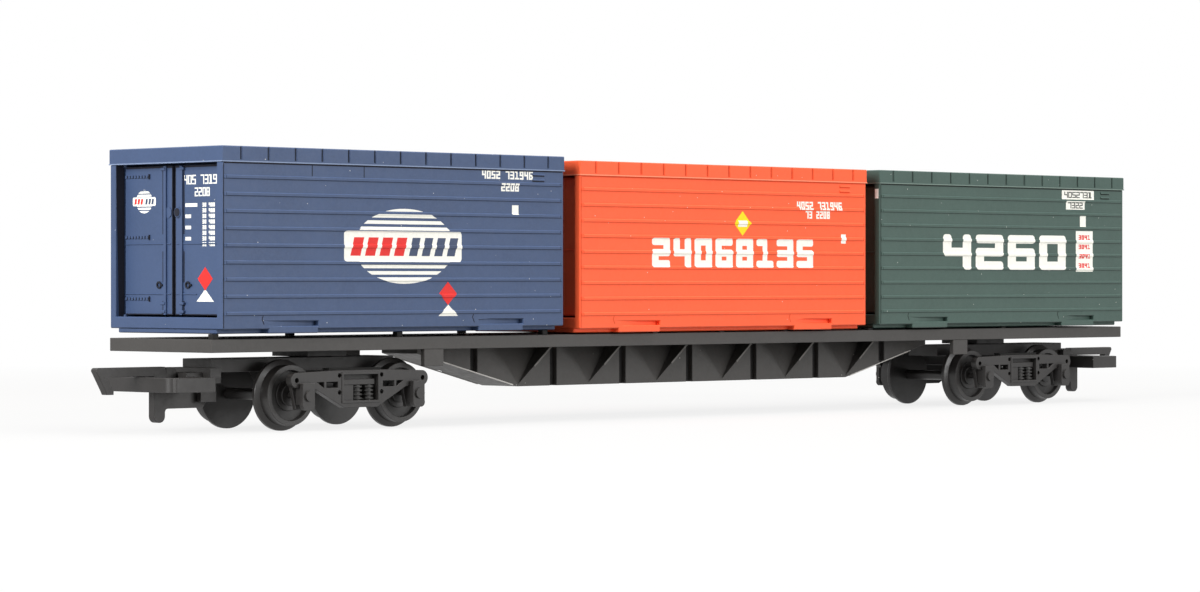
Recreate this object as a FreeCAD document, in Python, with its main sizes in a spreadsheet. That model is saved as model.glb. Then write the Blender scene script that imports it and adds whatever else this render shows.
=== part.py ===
import FreeCAD, Part
import os
import re
import Sketcher

# Toy bogie flat wagon with three twenty foot containers, in millimetres.
# X runs along the wagon, Y across it and Z up. The origin is on the rail level, under the middle.

SIZES = [
    # name, value, what it is
    ("deck_margin", 1.2, "deck beyond the outer containers"),
    ("deck_width", 27.5, "deck over its side bars"),
    ("deck_top", 16.0, "top of the deck above the wheels' lowest point"),
    ("deck_edge", 2.25, "height of the deck's side and end bars"),
    ("deck_skin", 1.5, "thickness of the deck plate"),
    ("deck_wall", 1.4, "thickness of the side and end bars"),
    ("rib_thickness", 1.0, "cross rib under the deck"),
    ("girder_width", 9.6, "spine girder across"),
    ("girder_bottom", 6.4, "underside of the spine girder"),
    ("girder_clear", 21.3, "end of the girder from the bogie pivot"),
    ("girder_rise", 25.0, "length of each rising end of the girder"),
    ("girder_tip", 1.0, "height of the girder where its rising end stops"),
    ("groove_width", 1.7, "upright groove in the girder's side"),
    ("groove_depth", 1.0, "depth of that groove"),
    ("groove_shift", 1.9, "outermost grooves, further out than the even spacing"),
    ("recess_depth", 3.8, "deepest corner of a bay's sloped recess"),
    ("recess_lead", 1.4, "flat stretch of a bay before its recess"),
    ("recess_fold", 3.2, "shallow stretch of a recess after that"),
    ("recess_fold_depth", 0.9, "depth of the recess at the end of its shallow stretch"),
    ("recess_edge", 0.35, "web left above the girder's bottom at a recess"),
    ("side_box_length", 4.6, "small box under the deck's side bar"),
    ("side_box_depth", 1.0, "that box, across the wagon"),
    ("side_box_drop", 3.0, "that box, below the side bar"),
    ("side_box_clear", 19.05, "middle of that box from the bogie pivot"),
    ("side_box_stagger", 1.85, "near boxes towards the left end and far ones towards the right"),
    ("bogie_inset", 33.3, "bogie pivot from the end of the deck"),
    ("pivot_block_length", 9.0, "block above the bogie, along the wagon"),
    ("pivot_pin_diameter", 3.0, "pin that carries the bogie"),
    ("pivot_head_diameter", 5.0, "head under the pin"),
    ("pivot_head_height", 0.8, "height of that head"),
    ("pivot_fit", 0.3, "room round the pivot pin"),
    ("slide_gap", 0.1, "room between faces that slide on each other"),
    ("beam_width", 7.7, "bogie beam across"),
    ("beam_top", 12.5, "top of the bogie beam"),
    ("beam_depth", 2.3, "height of the bogie beam"),
    ("beam_outer", 25.3, "bogie beam from the pivot to its coupling end"),
    ("beam_inner", 16.5, "bogie beam from the pivot to its inner end"),
    ("bolster_length", 8.4, "cross bolster, along the bogie"),
    ("bolster_depth", 2.2, "height of the cross bolster"),
    ("frame_face", 13.7, "outer face of a side frame from the middle"),
    ("frame_thickness", 1.4, "thickness of a side frame"),
    ("frame_top", 10.35, "top chord of a side frame"),
    ("frame_chord", 12.0, "level stretch of the top chord"),
    ("frame_arch", 3.0, "top chord above the upper end of a diagonal"),
    ("frame_bottom", 3.9, "underside of a side frame"),
    ("frame_foot", 7.6, "level stretch of the side frame's underside"),
    ("lug_place", 14.5, "lifting lug from the bogie's middle"),
    ("lug_height", 8.8, "lifting lug above the rail"),
    ("lug_radius", 1.3, "round end of a lug"),
    ("lug_hole", 0.9, "hole in a lug"),
    ("window_width", 7.9, "spring window across"),
    ("window_bottom", 5.1, "sill of the spring window"),
    ("window_height", 4.5, "height of the spring window"),
    ("window_rim", 0.45, "raised rim round the window, across"),
    ("window_rim_out", 0.15, "that rim out of the frame's face"),
    ("strap_hole", 0.8, "small hole beside the window"),
    ("strap_hole_place", 4.85, "that hole from the bogie's middle"),
    ("strap_hole_top", 9.5, "upper of the two holes above the rail"),
    ("strap_hole_low", 6.55, "lower of them above the rail"),
    ("frame_slot_place", 6.5, "level slot from the bogie's middle"),
    ("frame_slot_length", 2.6, "that slot along the bogie"),
    ("frame_slot_height", 1.0, "height of that slot"),
    ("frame_slot_bottom", 7.4, "underside of that slot above the rail"),
    ("corner_hole_place", 8.35, "three sided hole from the bogie's middle"),
    ("corner_hole_size", 1.6, "that hole along the bogie"),
    ("bolster_end_bottom", 7.8, "plate on the bolster's end in the window, above the rail"),
    ("bolster_end_height", 1.0, "height of that plate"),
    ("bolster_end_fit", 0.3, "room each side of that plate"),
    ("bolster_end_inset", 0.5, "that plate behind the frame's face"),
    ("stop_length", 2.5, "plain block beside the springs, along the bogie"),
    ("stop_place", 2.3, "middle of that block from the bogie's middle"),
    ("stop_inset", 0.7, "that block behind the frame's face"),
    ("spring_diameter", 2.1, "outside of a coil spring"),
    ("spring_core", 1.4, "that spring between its coils"),
    ("spring_coils", 4, "coils in a spring"),
    ("spring_pitch", 2.6, "one spring column to the next"),
    ("spring_inset", 0.2, "springs behind the frame's face"),
    ("axlebox_width", 2.7, "front plate of an axlebox along the bogie"),
    ("axlebox_out", 1.1, "front of an axlebox out of the frame's face"),
    ("axlebox_top", 8.3, "top of an axlebox's front plate"),
    ("axlebox_bottom", 3.7, "underside of an axlebox"),
    ("axlebox_depth", 3.1, "axlebox, front to back"),
    ("axlebox_cap", 0.9, "front plate of an axlebox"),
    ("axlebox_back", 0.8, "back plate of an axlebox"),
    ("axlebox_waist", 2.1, "block between those plates, along the bogie"),
    ("axlebox_waist_low", 4.6, "underside of that block above the rail"),
    ("axlebox_foot", 1.0, "half the back plate's lower end"),
    ("axlebox_shoulder", 2.1, "half the back plate's upper end"),
    ("axlebox_round", 0.9, "rounded lower corner of the front plate"),
    ("boss_diameter", 1.9, "round cap on an axlebox"),
    ("boss_height", 0.4, "that cap, out of the axlebox"),
    ("wheelbase", 25.4, "axle to axle in a bogie"),
    ("flange_diameter", 12.3, "wheel over its flange"),
    ("tread_diameter", 10.5, "wheel over its tread"),
    ("back_to_back", 13.9, "between the backs of two wheels"),
    ("flange_rim", 0.7, "flange at its rim"),
    ("flange_root", 1.1, "flange where it meets the tread"),
    ("wheel_width", 3.15, "wheel, back to front"),
    ("rim_thickness", 0.9, "rim ring of the wheel's face"),
    ("dish_depth", 1.0, "hollow between rim and hub"),
    ("hub_diameter", 3.6, "hub of the wheel's face"),
    ("hub_drop", 0.35, "hub behind the rim's face"),
    ("hub_collar", 5.4, "step round the hub"),
    ("hub_collar_height", 0.3, "height of that step"),
    ("axle_diameter", 2.0, "axle between the wheels"),
    ("journal_diameter", 1.1, "axle end in its axlebox"),
    ("journal_fit", 0.2, "room round the axle end"),
    ("journal_reach", 1.6, "axle end inside its axlebox"),
    ("buffer_face", 38.3, "front of the coupling loop from the bogie pivot"),
    ("loop_width", 18.4, "coupling loop across"),
    ("loop_length", 9.3, "coupling loop, front to back"),
    ("loop_bar", 1.2, "bar of the coupling loop"),
    ("loop_bottom", 7.05, "underside of the coupling loop"),
    ("loop_height", 2.5, "height of the coupling loop"),
    ("loop_corner", 1.6, "rounded outer corner of the loop"),
    ("shank_width", 6.6, "shank between loop and bogie beam, across"),
    ("shank_end", 22.6, "inner end of the shank from the pivot"),
    ("yoke_width", 10.6, "cross block at the beam's end, across"),
    ("yoke_front", 26.6, "front of that block from the bogie pivot"),
    ("yoke_length", 2.4, "that block along the bogie"),
    ("yoke_bottom", 9.3, "underside of that block"),
    ("yoke_height", 1.7, "height of that block"),
    ("cheek_thickness", 1.2, "plate each side of the hook's root"),
    ("cheek_length", 3.4, "that plate along the bogie"),
    ("cheek_bottom", 5.1, "underside of that plate"),
    ("hook_thickness", 1.5, "coupling hook across"),
    ("hook_fit", 0.3, "room each side of the hook"),
    ("hook_pin_diameter", 1.0, "pin that the hook turns on"),
    ("hook_pin_fit", 0.1, "room round that pin"),
    ("hook_pin_place", 24.5, "that pin from the bogie pivot"),
    ("hook_pin_height", 7.4, "that pin above the rail"),
    ("hook_root", 1.35, "hook behind its pin"),
    ("hook_arm_top", 8.5, "top of the hook's arm"),
    ("hook_arm_bottom", 4.1, "underside of the hook's arm"),
    ("hook_shoulder", 1.0, "slope from the arm up to the hook bar"),
    ("hook_tail_width", 2.4, "drop tail along the wagon"),
    ("hook_tail_clear", 2.0, "drop tail behind the loop's front bar"),
    ("hook_tail_round", 1.1, "rounded lower corners of the drop tail"),
    ("hook_tail_bottom", 1.75, "lowest point of the drop tail"),
    ("hook_bar_gap", 0.1, "hook bar above the loop"),
    ("hook_bar_depth", 1.6, "height of the hook bar"),
    ("hook_reach", 47.6, "nose of the hook from the bogie pivot"),
    ("hook_round", 0.5, "rounded corners of the nose and behind the tail"),
    ("nose_lean", 2.2, "foot of the nose behind its top"),
    ("nose_depth", 1.9, "nose of the hook along the wagon, at its top"),
    ("nose_waist", 1.1, "nose of the hook along the wagon, above its foot"),
    ("nose_foot", 1.8, "foot of the nose along the wagon"),
    ("nose_foot_height", 0.75, "height of that foot"),
    ("nose_tip", 6.7, "underside of that foot above the rail"),
    ("box_length", 80.0, "container over its corner posts"),
    ("box_width", 30.4, "container over its sides"),
    ("box_height", 30.8, "container without its base"),
    ("box_gap", 4.2, "between two containers"),
    ("wall", 1.2, "container wall and floor"),
    ("base_height", 0.75, "base under the container's sides"),
    ("base_inset", 1.9, "base inside the container's side face"),
    ("base_end_inset", 0.3, "base inside the container's end face"),
    ("lid_skirt", 2.7, "height of the roof's edge"),
    ("lid_overhang", 0.2, "roof beyond the walls"),
    ("lid_lip", 1.4, "rib under the roof that fits inside the walls"),
    ("lid_fit", 0.15, "room between that rib and the walls"),
    ("lid_groove", 0.3, "upright line in the roof's edge"),
    ("lid_groove_depth", 0.15, "depth of that line"),
    ("lid_groove_end", 4.0, "outer line from the container's end"),
    ("lid_band", 0.4, "plain lower edge of the roof under those lines"),
    ("side_rib_height", 0.7, "level rib on a container's side"),
    ("side_rib_depth", 0.2, "that rib out of the side"),
    ("side_rib_first", 5.2, "highest rib below the roof"),
    ("side_rib_last", 2.64, "lowest rib above the container's bottom edge"),
    ("pocket_place", 24.3, "fork pocket from the container's middle"),
    ("pocket_length", 11.0, "fork pocket along the container"),
    ("pocket_low", 0.5, "fork pocket above the container's bottom edge"),
    ("pocket_height", 0.8, "height of a fork pocket"),
    ("pocket_depth", 1.1, "fork pocket at its deep end"),
    ("side_rib_inset", 0.8, "end of a rib from the container's corner"),
    ("post_width", 1.5, "corner post beside the doors"),
    ("sill_height", 2.0, "sill under the doors"),
    ("door_recess", 1.9, "door behind the end of the container"),
    ("door_thickness", 1.2, "thickness of a door"),
    ("door_gap", 0.35, "room round a door"),
    ("door_meeting", 0.7, "gap between two closed doors"),
    ("door_pin", 0.6, "hinge pin over and under a door"),
    ("door_pin_reach", 0.6, "that pin into the roof and the sill"),
    ("door_pin_fit", 0.1, "room round that pin"),
    ("door_bar", 0.7, "locking bar on a door, across"),
    ("door_bar_out", 0.35, "that bar out of the door"),
    ("door_bar_inset", 1.85, "locking bar from the door's closing edge"),
    ("knob_inset", 0.2, "round latch from the near door's closing edge"),
    ("knob_diameter", 1.8, "round latch on the near door"),
    ("knob_height", 0.5, "that latch out of the door"),
    ("knob_drop", 11.0, "that latch below the roof"),
    ("strike_height", 0.15, "latch plate on the far door, out of the door"),
    ("seat_length", 1.3, "seat under a container, along the wagon"),
    ("seat_width", 1.3, "seat across the wagon"),
    ("seat_inset", 0.3, "seat from the deck's side"),
    ("seat_end_inset", 0.6, "end seats from the deck's end"),
    ("seat_stagger", 3.0, "seats on one side of the deck from those on the other"),
    ("seat_spread", 18.3, "seats of the middle container, one to the next"),
    ("seat_blue", 0.9, "height of the blue container's seats"),
    ("seat_orange", 0.3, "height of the orange container's seats"),
    ("seat_green", 0.35, "height of the green container's seats"),
]
DECK_RIBS = 13
GIRDER_BAYS = 6
LID_LINES = 13
SIDE_RIBS = 9

doc = FreeCAD.newDocument("flat_wagon")
sheet = doc.addObject("Spreadsheet::Sheet", "Sizes")
for row, (name, value, note) in enumerate(SIZES, 1):
    sheet.set(f"A{row}", name)
    sheet.set(f"B{row}", str(value))
    sheet.setAlias(f"B{row}", name)
    sheet.set(f"C{row}", note)
doc.recompute()

SIZE_NAMES = re.compile(r"\b(" + "|".join(name for name, value, note in SIZES) + r")\b")

# Places and patterns that follow from the sizes.
BOX_PITCH = "(box_length + box_gap)"
DECK_LENGTH = "(3 * box_length + 2 * box_gap + 2 * deck_margin)"
DECK_RIB_PITCH = f"(({DECK_LENGTH} - 2 * deck_wall) / {DECK_RIBS + 1})"
BOGIE_PLACE = f"({DECK_LENGTH} / 2 - bogie_inset)"
GIRDER_END = f"({BOGIE_PLACE} - girder_clear)"
GIRDER_FLAT = f"({GIRDER_END} - girder_rise)"
BAY_PITCH = f"(2 * {GIRDER_FLAT} / {GIRDER_BAYS - 1})"
SIDE_BOX_PLACE = f"({BOGIE_PLACE} - side_box_clear)"
AXLE = "(flange_diameter / 2)"
DECK_BOTTOM = "(deck_top - deck_edge)"
DECK_UNDER = "(deck_top - deck_skin)"
BEAM_BOTTOM = "(beam_top - beam_depth)"
BOLSTER_BOTTOM = f"({BEAM_BOTTOM} - bolster_depth)"
FRAME_BACK = "(frame_face - frame_thickness)"
SHANK_BOTTOM = "(loop_bottom + loop_height / 2)"
SIDE_RIB_PITCH = f"((box_height - side_rib_first - side_rib_last) / {SIDE_RIBS - 1})"
LID_GROOVE_PITCH = f"((box_length - 2 * lid_groove_end) / {LID_LINES - 1})"
LID_LOW = "(base_height + box_height - lid_skirt)"
DOOR_HINGE = "(box_width / 2 - post_width - door_gap)"
DOOR_FRONT = "(-box_length / 2 + door_recess)"
NEARLY = 1e-3  # two places closer than this are one


def full(expression):
    """The expression with every size named in the sheet."""
    return SIZE_NAMES.sub(r"Sizes.\1", str(expression))


def value_of(expression):
    """The number that an expression of sizes gives."""
    return float(sheet.evalExpression(full(expression)))


def bind(thing, **expressions):
    """Tie properties of an object to expressions of sizes."""
    for name, expression in expressions.items():
        thing.setExpression(name, full(expression))


def place(thing, x="0", y="0", z="0"):
    """Tie an object's position to expressions of sizes."""
    for axis, expression in (("x", x), ("y", y), ("z", z)):
        thing.setExpression(f"Placement.Base.{axis}", full(expression))
    return thing


def box(x, y, z, length, width, height):
    """A block from its lowest corner and its sizes."""
    thing = doc.addObject("Part::Box", "Block")
    bind(thing, Length=length, Width=width, Height=height)
    return place(thing, x, y, z)


def centred(x, y, z, length, width, height):
    """A block whose middle in X and Y is given, standing on z."""
    return box(f"({x}) - ({length}) / 2", f"({y}) - ({width}) / 2", z, length, width, height)


def rod(x, y, z, diameter, length, along="z"):
    """A round bar that starts at a point and runs along an axis."""
    thing = doc.addObject("Part::Cylinder", "Rod")
    bind(thing, Radius=f"({diameter}) / 2", Height=length)
    turn = {"x": (0, 90, 0), "y": (0, 0, -90), "z": (0, 0, 0)}[along]
    thing.Placement.Rotation = FreeCAD.Rotation(*turn)
    return place(thing, x, y, z)


def join(things, name="Joined"):
    """One solid from pieces that meet."""
    thing = doc.addObject("Part::MultiFuse", name)
    thing.Shapes = things
    thing.Refine = True
    return thing


def group(things, name="Group"):
    """Pieces that stay apart, kept as one object."""
    thing = doc.addObject("Part::Compound", name)
    thing.Links = things
    return thing


def cut(base, tools, name="Cut"):
    """A solid less some others."""
    thing = doc.addObject("Part::Cut", name)
    thing.Base = base
    thing.Tool = tools[0] if len(tools) == 1 else group(tools)
    return thing


def plane(body, role):
    """A base plane of a body."""
    return next(f for f in body.Origin.OriginFeatures if f.Role == role)


def outline(body, role, points):
    """A closed sketch of straight lines through points given as expressions."""
    sketch = body.newObject("Sketcher::SketchObject", "Outline")
    sketch.AttachmentSupport = [(plane(body, role), "")]
    sketch.MapMode = "FlatFace"
    spots = [FreeCAD.Vector(value_of(x), value_of(y), 0) for x, y in points]
    for start, end in zip(spots, spots[1:] + spots[:1]):
        sketch.addGeometry(Part.LineSegment(start, end))
    for line in range(len(spots)):
        sketch.addConstraint(Sketcher.Constraint("Coincident", line, 2, (line + 1) % len(spots), 1))
    for line, (spot, point) in enumerate(zip(spots, points)):
        for kind, number, expression in (("DistanceX", spot.x, point[0]), ("DistanceY", spot.y, point[1])):
            index = sketch.addConstraint(Sketcher.Constraint(kind, -1, 1, line, 1, number))
            sketch.setExpression(f"Constraints[{index}]", full(expression))
    return sketch


def new_body(name):
    """An empty body."""
    return doc.addObject("PartDesign::Body", name)


def slab(points, thickness, name="Slab"):
    """A body padded from an outline in X and Z, half its thickness each side of Y = 0."""
    body = new_body(name)
    pad = body.newObject("PartDesign::Pad", "Pad")
    pad.Profile = outline(body, "XZ_Plane", points)
    bind(pad, Length=thickness)
    pad.Midplane = True
    return body


def prism(points, height, name="Prism"):
    """A body padded up from an outline in X and Y at Z = 0."""
    body = new_body(name)
    pad = body.newObject("PartDesign::Pad", "Pad")
    pad.Profile = outline(body, "XY_Plane", points)
    bind(pad, Length=height)
    return body


def along(edge, axis):
    """Whether an edge is a straight one parallel to an axis."""
    start, end = edge.Vertexes[0].Point, edge.Vertexes[-1].Point
    return abs(getattr(end - start, axis)) > 0.99 * edge.Length


def rounded(body, radius, wanted):
    """A body with the edges that a test picks out rounded."""
    doc.recompute()
    sharp = body.Tip
    edges = [f"Edge{number}" for number, edge in enumerate(sharp.Shape.Edges, 1) if wanted(edge)]
    fillet = body.newObject("PartDesign::Fillet", "Rounding")
    fillet.Base = (sharp, edges)
    bind(fillet, Radius=radius)
    return body


def turned(points, name):
    """A body turned about the Y axis from an outline of Y and radius."""
    body = new_body(name)
    spin = body.newObject("PartDesign::Revolution", "Turn")
    spin.Profile = outline(body, "YZ_Plane", points)
    spin.ReferenceAxis = (plane(body, "Y_Axis"), [""])
    spin.Angle = 360
    return body


def mirrored_outline(points):
    """Points with x over zero, joined to their mirror images."""
    return points + [(f"-({x})", z) for x, z in reversed(points)]


# The wagon body


def deck_frame():
    """The deck: a plate with bars round its edge and ribs across its underside."""
    pan = "deck_edge - deck_skin"
    plate = centred("0", "0", DECK_BOTTOM, DECK_LENGTH, "deck_width", "deck_edge")
    hollow = centred(
        "0", "0", DECK_BOTTOM, f"{DECK_LENGTH} - 2 * deck_wall", "deck_width - 2 * deck_wall", pan
    )
    ribs = [
        centred(
            f"{rib - DECK_RIBS // 2} * {DECK_RIB_PITCH}", "0", DECK_BOTTOM,
            "rib_thickness", "deck_width - deck_wall", pan,
        )
        for rib in range(DECK_RIBS)
    ]
    pockets = [
        centred(f"{end} * {BOGIE_PLACE}", "0", DECK_BOTTOM, "pivot_block_length", "girder_width", pan)
        for end in (-1, 1)
    ]
    return cut(join([cut(plate, [hollow])] + ribs), pockets, "deck_frame")


def bay_recess(start, side):
    """The folded recess in one bay of the girder: flush at its left edge, deepest at its top right."""
    half = value_of("girder_width / 2")
    pitch = value_of(BAY_PITCH)
    high = value_of(DECK_BOTTOM)
    left = FreeCAD.Vector(start + value_of("recess_lead"), -half, high)
    right = FreeCAD.Vector(start + pitch - value_of("groove_width / 3"), -half, high)
    foot = FreeCAD.Vector(start + pitch / 2, -half, value_of("girder_bottom + recess_edge"))
    fold = left + FreeCAD.Vector(value_of("recess_fold"), value_of("recess_fold_depth"), 0)
    deep = right + FreeCAD.Vector(0, value_of("recess_depth"), 0)
    corners = [
        (left, right, foot), (left, foot, fold), (fold, foot, deep), (right, deep, foot), (left, fold, deep, right),
    ]
    faces = [Part.Face(Part.makePolygon([*points, points[0]])) for points in corners]
    solid = Part.Solid(Part.Shell(faces))
    if side > 0:
        solid.rotate(FreeCAD.Vector(0, 0, 0), FreeCAD.Vector(0, 0, 1), 180)
    return solid


def spine_girder():
    """The deep girder under the middle of the deck, with six bays of sloped recesses each side."""
    points = [
        (GIRDER_FLAT, "girder_bottom"),
        (GIRDER_END, f"{DECK_BOTTOM} - girder_tip"),
        (GIRDER_END, DECK_BOTTOM),
    ]
    web = slab(mirrored_outline(points), "girder_width", "Web")
    recesses = doc.addObject("Part::Feature", "Recesses")
    pitch = value_of(BAY_PITCH)
    starts = [(bay - GIRDER_BAYS / 2) * pitch for bay in range(GIRDER_BAYS)]
    recesses.Shape = Part.makeCompound([bay_recess(start, side) for start in starts for side in (-1, 1)])
    height = f"{DECK_BOTTOM} - girder_bottom"
    inner = range(1 - GIRDER_BAYS // 2, GIRDER_BAYS // 2)
    posts = [f"{post} * {BAY_PITCH}" for post in inner]
    posts += [f"{end} * ({GIRDER_BAYS // 2} * {BAY_PITCH} + groove_shift)" for end in (-1, 1)]
    grooves = [
        centred(post, f"{side} * (girder_width - groove_depth) / 2", "girder_bottom", "groove_width",
                "groove_depth", height)
        for post in posts
        for side in (-1, 1)
    ]
    return cut(web, [recesses] + grooves, "spine_girder")


def side_boxes():
    """The four small boxes that hang from the deck's side bars."""
    y = "(deck_width - side_box_depth) / 2"
    return group(
        [
            centred(
                f"{end} * {SIDE_BOX_PLACE} + {side} * side_box_stagger", f"{side} * {y}", f"{DECK_BOTTOM} - side_box_drop",
                "side_box_length", "side_box_depth", "side_box_drop",
            )
            for end in (-1, 1)
            for side in (-1, 1)
        ],
        "side_boxes",
    )


def bogie_pivot(end, name):
    """The block under the deck and the headed pin that carry one bogie."""
    x = f"{end} * {BOGIE_PLACE}"
    foot = "(beam_top + slide_gap)"
    block = centred(x, "0", foot, "pivot_block_length", "girder_width", f"{DECK_UNDER} - {foot}")
    head_top = f"({BOLSTER_BOTTOM} - slide_gap)"
    pin = rod(x, "0", head_top, "pivot_pin_diameter", f"{foot} - {head_top}")
    head = rod(x, "0", f"{head_top} - pivot_head_height", "pivot_head_diameter", "pivot_head_height")
    return join([block, pin, head], name)


def container_seats():
    """The seats on the deck that the containers stand on, the same after half a turn of the wagon."""
    deck_end = f"({DECK_LENGTH} / 2 - seat_end_inset - seat_length / 2)"
    box_end = f"({BOX_PITCH} - box_length / 2)"
    places = [
        # distance from the wagon's middle, side of the deck at the blue container
        (deck_end, -1),
        (f"{BOX_PITCH} - seat_stagger / 2", -1),
        (f"{BOX_PITCH} + seat_stagger / 2", 1),
        (f"{box_end} + seat_stagger", -1),
        (f"{box_end} - seat_length / 2", 1),
    ]
    spots = [(f"-({x})", side, "seat_blue") for x, side in places]
    spots += [(x, -side, "seat_green") for x, side in places]
    spots += [(f"{row} * seat_spread", side, "seat_orange") for row in (-1, 0, 1) for side in (-1, 1)]
    return group(
        [
            centred(x, f"{side} * (deck_width / 2 - seat_inset - seat_width / 2)", "deck_top",
                    "seat_length", "seat_width", height)
            for x, side, height in spots
        ],
        "container_seats",
    )


# The bogies, each built about its own pivot with its coupling towards minus X


def facing(side, start, end):
    """The lower y of a span between two distances from the middle, on one side, and its length."""
    return start if side > 0 else f"-({end})", f"({end}) - ({start})"


def axlebox(side, end):
    """One axlebox: a round cornered front plate, a tapered back plate and the block between them."""
    x = f"{end} * wheelbase / 2"
    half = "axlebox_width / 2"
    front = slab(
        [
            (f"{x} - {half}", "axlebox_bottom"),
            (f"{x} + {half}", "axlebox_bottom"),
            (f"{x} + {half}", "axlebox_top"),
            (f"{x} - {half}", "axlebox_top"),
        ],
        "axlebox_cap",
    )
    middle = value_of("(axlebox_top + axlebox_bottom) / 2")
    front = rounded(front, "axlebox_round", lambda edge: along(edge, "y") and edge.CenterOfMass.z < middle)
    back = slab(
        [
            (f"{x} - axlebox_foot", "axlebox_bottom"),
            (f"{x} + axlebox_foot", "axlebox_bottom"),
            (f"{x} + axlebox_shoulder", "lug_height - lug_radius / 2"),
            (f"{x} - axlebox_shoulder", "lug_height - lug_radius / 2"),
        ],
        "axlebox_back",
    )
    face = "(frame_face + axlebox_out)"
    y, depth = facing(side, f"{face} - axlebox_depth", face)
    waist = centred(x, f"{y} + ({depth}) / 2", "axlebox_waist_low", "axlebox_waist", depth,
                    "axlebox_top - axlebox_waist_low")
    boss_y, boss = facing(side, face, f"{face} + boss_height")
    return join(
        [
            place(front, y=f"{side} * ({face} - axlebox_cap / 2)"),
            place(back, y=f"{side} * ({face} - axlebox_depth + axlebox_back / 2)"),
            waist,
            rod(x, boss_y, AXLE, "boss_diameter", boss, "y"),
        ]
    )


def corner_hole(end):
    """The three sided hole near one end of a side frame, level on top and upright towards the middle."""
    near = f"{end} * corner_hole_place"
    far = f"{end} * (corner_hole_place + corner_hole_size)"
    top = "(frame_slot_bottom + frame_slot_height)"
    return slab([(near, top), (far, top), (near, "frame_slot_bottom")], "frame_thickness")


def side_frame(side):
    """One cast side frame with its window, holes and axleboxes."""
    points = mirrored_outline(
        [
            ("frame_foot / 2", "frame_bottom"),
            ("wheelbase / 2 - axlebox_waist", "frame_top - frame_arch"),
            ("wheelbase / 2", "lug_height - lug_radius"),
            ("lug_place", "lug_height - lug_radius"),
            ("lug_place", "lug_height + lug_radius"),
            ("frame_chord / 2", "frame_top"),
        ]
    )
    y = f"{side} * (frame_face - frame_thickness / 2)"
    plate = place(slab(points, "frame_thickness"), y=y)
    rim_y, rim_depth = facing(side, "frame_face", "frame_face + window_rim_out")
    rim = box("-window_width / 2 - window_rim", rim_y, "window_bottom - window_rim",
              "window_width + 2 * window_rim", rim_depth, "window_height + 2 * window_rim")
    lug_y, lug_depth = facing(side, FRAME_BACK, "frame_face")
    lugs = [
        rod(f"{end} * lug_place", lug_y, "lug_height", "2 * lug_radius", lug_depth, "y") for end in (-1, 1)
    ]
    through, depth = facing(side, FRAME_BACK, "frame_face + window_rim_out")
    holes = [box("-window_width / 2", through, "window_bottom", "window_width", depth, "window_height")]
    bearing_face = "(frame_face + axlebox_out - axlebox_depth)"
    bearing, reach = facing(side, bearing_face, f"{bearing_face} + journal_reach + journal_fit")
    for end in (-1, 1):
        holes.append(rod(f"{end} * lug_place", through, "lug_height", "lug_hole", depth, "y"))
        for z in ("strap_hole_top", "strap_hole_low"):
            holes.append(rod(f"{end} * strap_hole_place", through, z, "strap_hole", depth, "y"))
        holes.append(centred(f"{end} * frame_slot_place", y, "frame_slot_bottom",
                             "frame_slot_length", "frame_thickness", "frame_slot_height"))
        holes.append(place(corner_hole(end), y=y))
        holes.append(rod(f"{end} * wheelbase / 2", bearing, AXLE, "journal_diameter + 2 * journal_fit",
                         reach, "y"))
    return cut(join([plate, rim, axlebox(side, -1), axlebox(side, 1)] + lugs), holes)


def bolster_end(side):
    """The plate on the bolster's end that shows in the spring window."""
    y, depth = facing(side, FRAME_BACK, "frame_face - bolster_end_inset")
    width = "window_width - 2 * bolster_end_fit"
    return box(f"-({width}) / 2", y, "bolster_end_bottom", width, depth, "bolster_end_height")


def spring_stop(side):
    """The plain block beside the springs in the spring window, under that plate."""
    y, depth = facing(side, FRAME_BACK, "frame_face - stop_inset")
    return centred(f"{side} * stop_place", f"{y} + ({depth}) / 2", "window_bottom", "stop_length", depth,
                   "bolster_end_bottom - window_bottom")


def bogie_frame(name):
    """Both side frames, the cross bolster and the beam that reaches out to the coupling."""
    beam = box("-beam_outer", "-beam_width / 2", BEAM_BOTTOM,
               "beam_outer + beam_inner", "beam_width", "beam_depth")
    bolster = centred("0", "0", BOLSTER_BOTTOM, "bolster_length", f"2 * {FRAME_BACK}", "bolster_depth")
    hole = rod("0", "0", BOLSTER_BOTTOM, "pivot_pin_diameter + 2 * pivot_fit", f"beam_top - {BOLSTER_BOTTOM}")
    middle = cut(join([beam, bolster]), [hole])
    makers = (side_frame, bolster_end, spring_stop)
    return join([middle] + [make(side) for make in makers for side in (-1, 1)], name)


def bogie_springs(name):
    """The coil springs in both side frames' windows, under the plates on the bolster's ends."""
    springs = []
    height = "(bolster_end_bottom - window_bottom)"
    coils = int(value_of("spring_coils"))
    for side in (-1, 1):
        y = f"{side} * (frame_face - spring_inset - spring_diameter / 2)"
        for column in (0, 1):
            x = f"{-side * column} * spring_pitch"
            core = rod(x, y, "window_bottom", "spring_core", height)
            rings = [
                rod(x, y, f"window_bottom + {height} * {4 * coil + 1} / (4 * spring_coils)",
                    "spring_diameter", f"{height} / (2 * spring_coils)")
                for coil in range(coils)
            ]
            springs.append(join([core] + rings))
    return group(springs, name)


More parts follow.
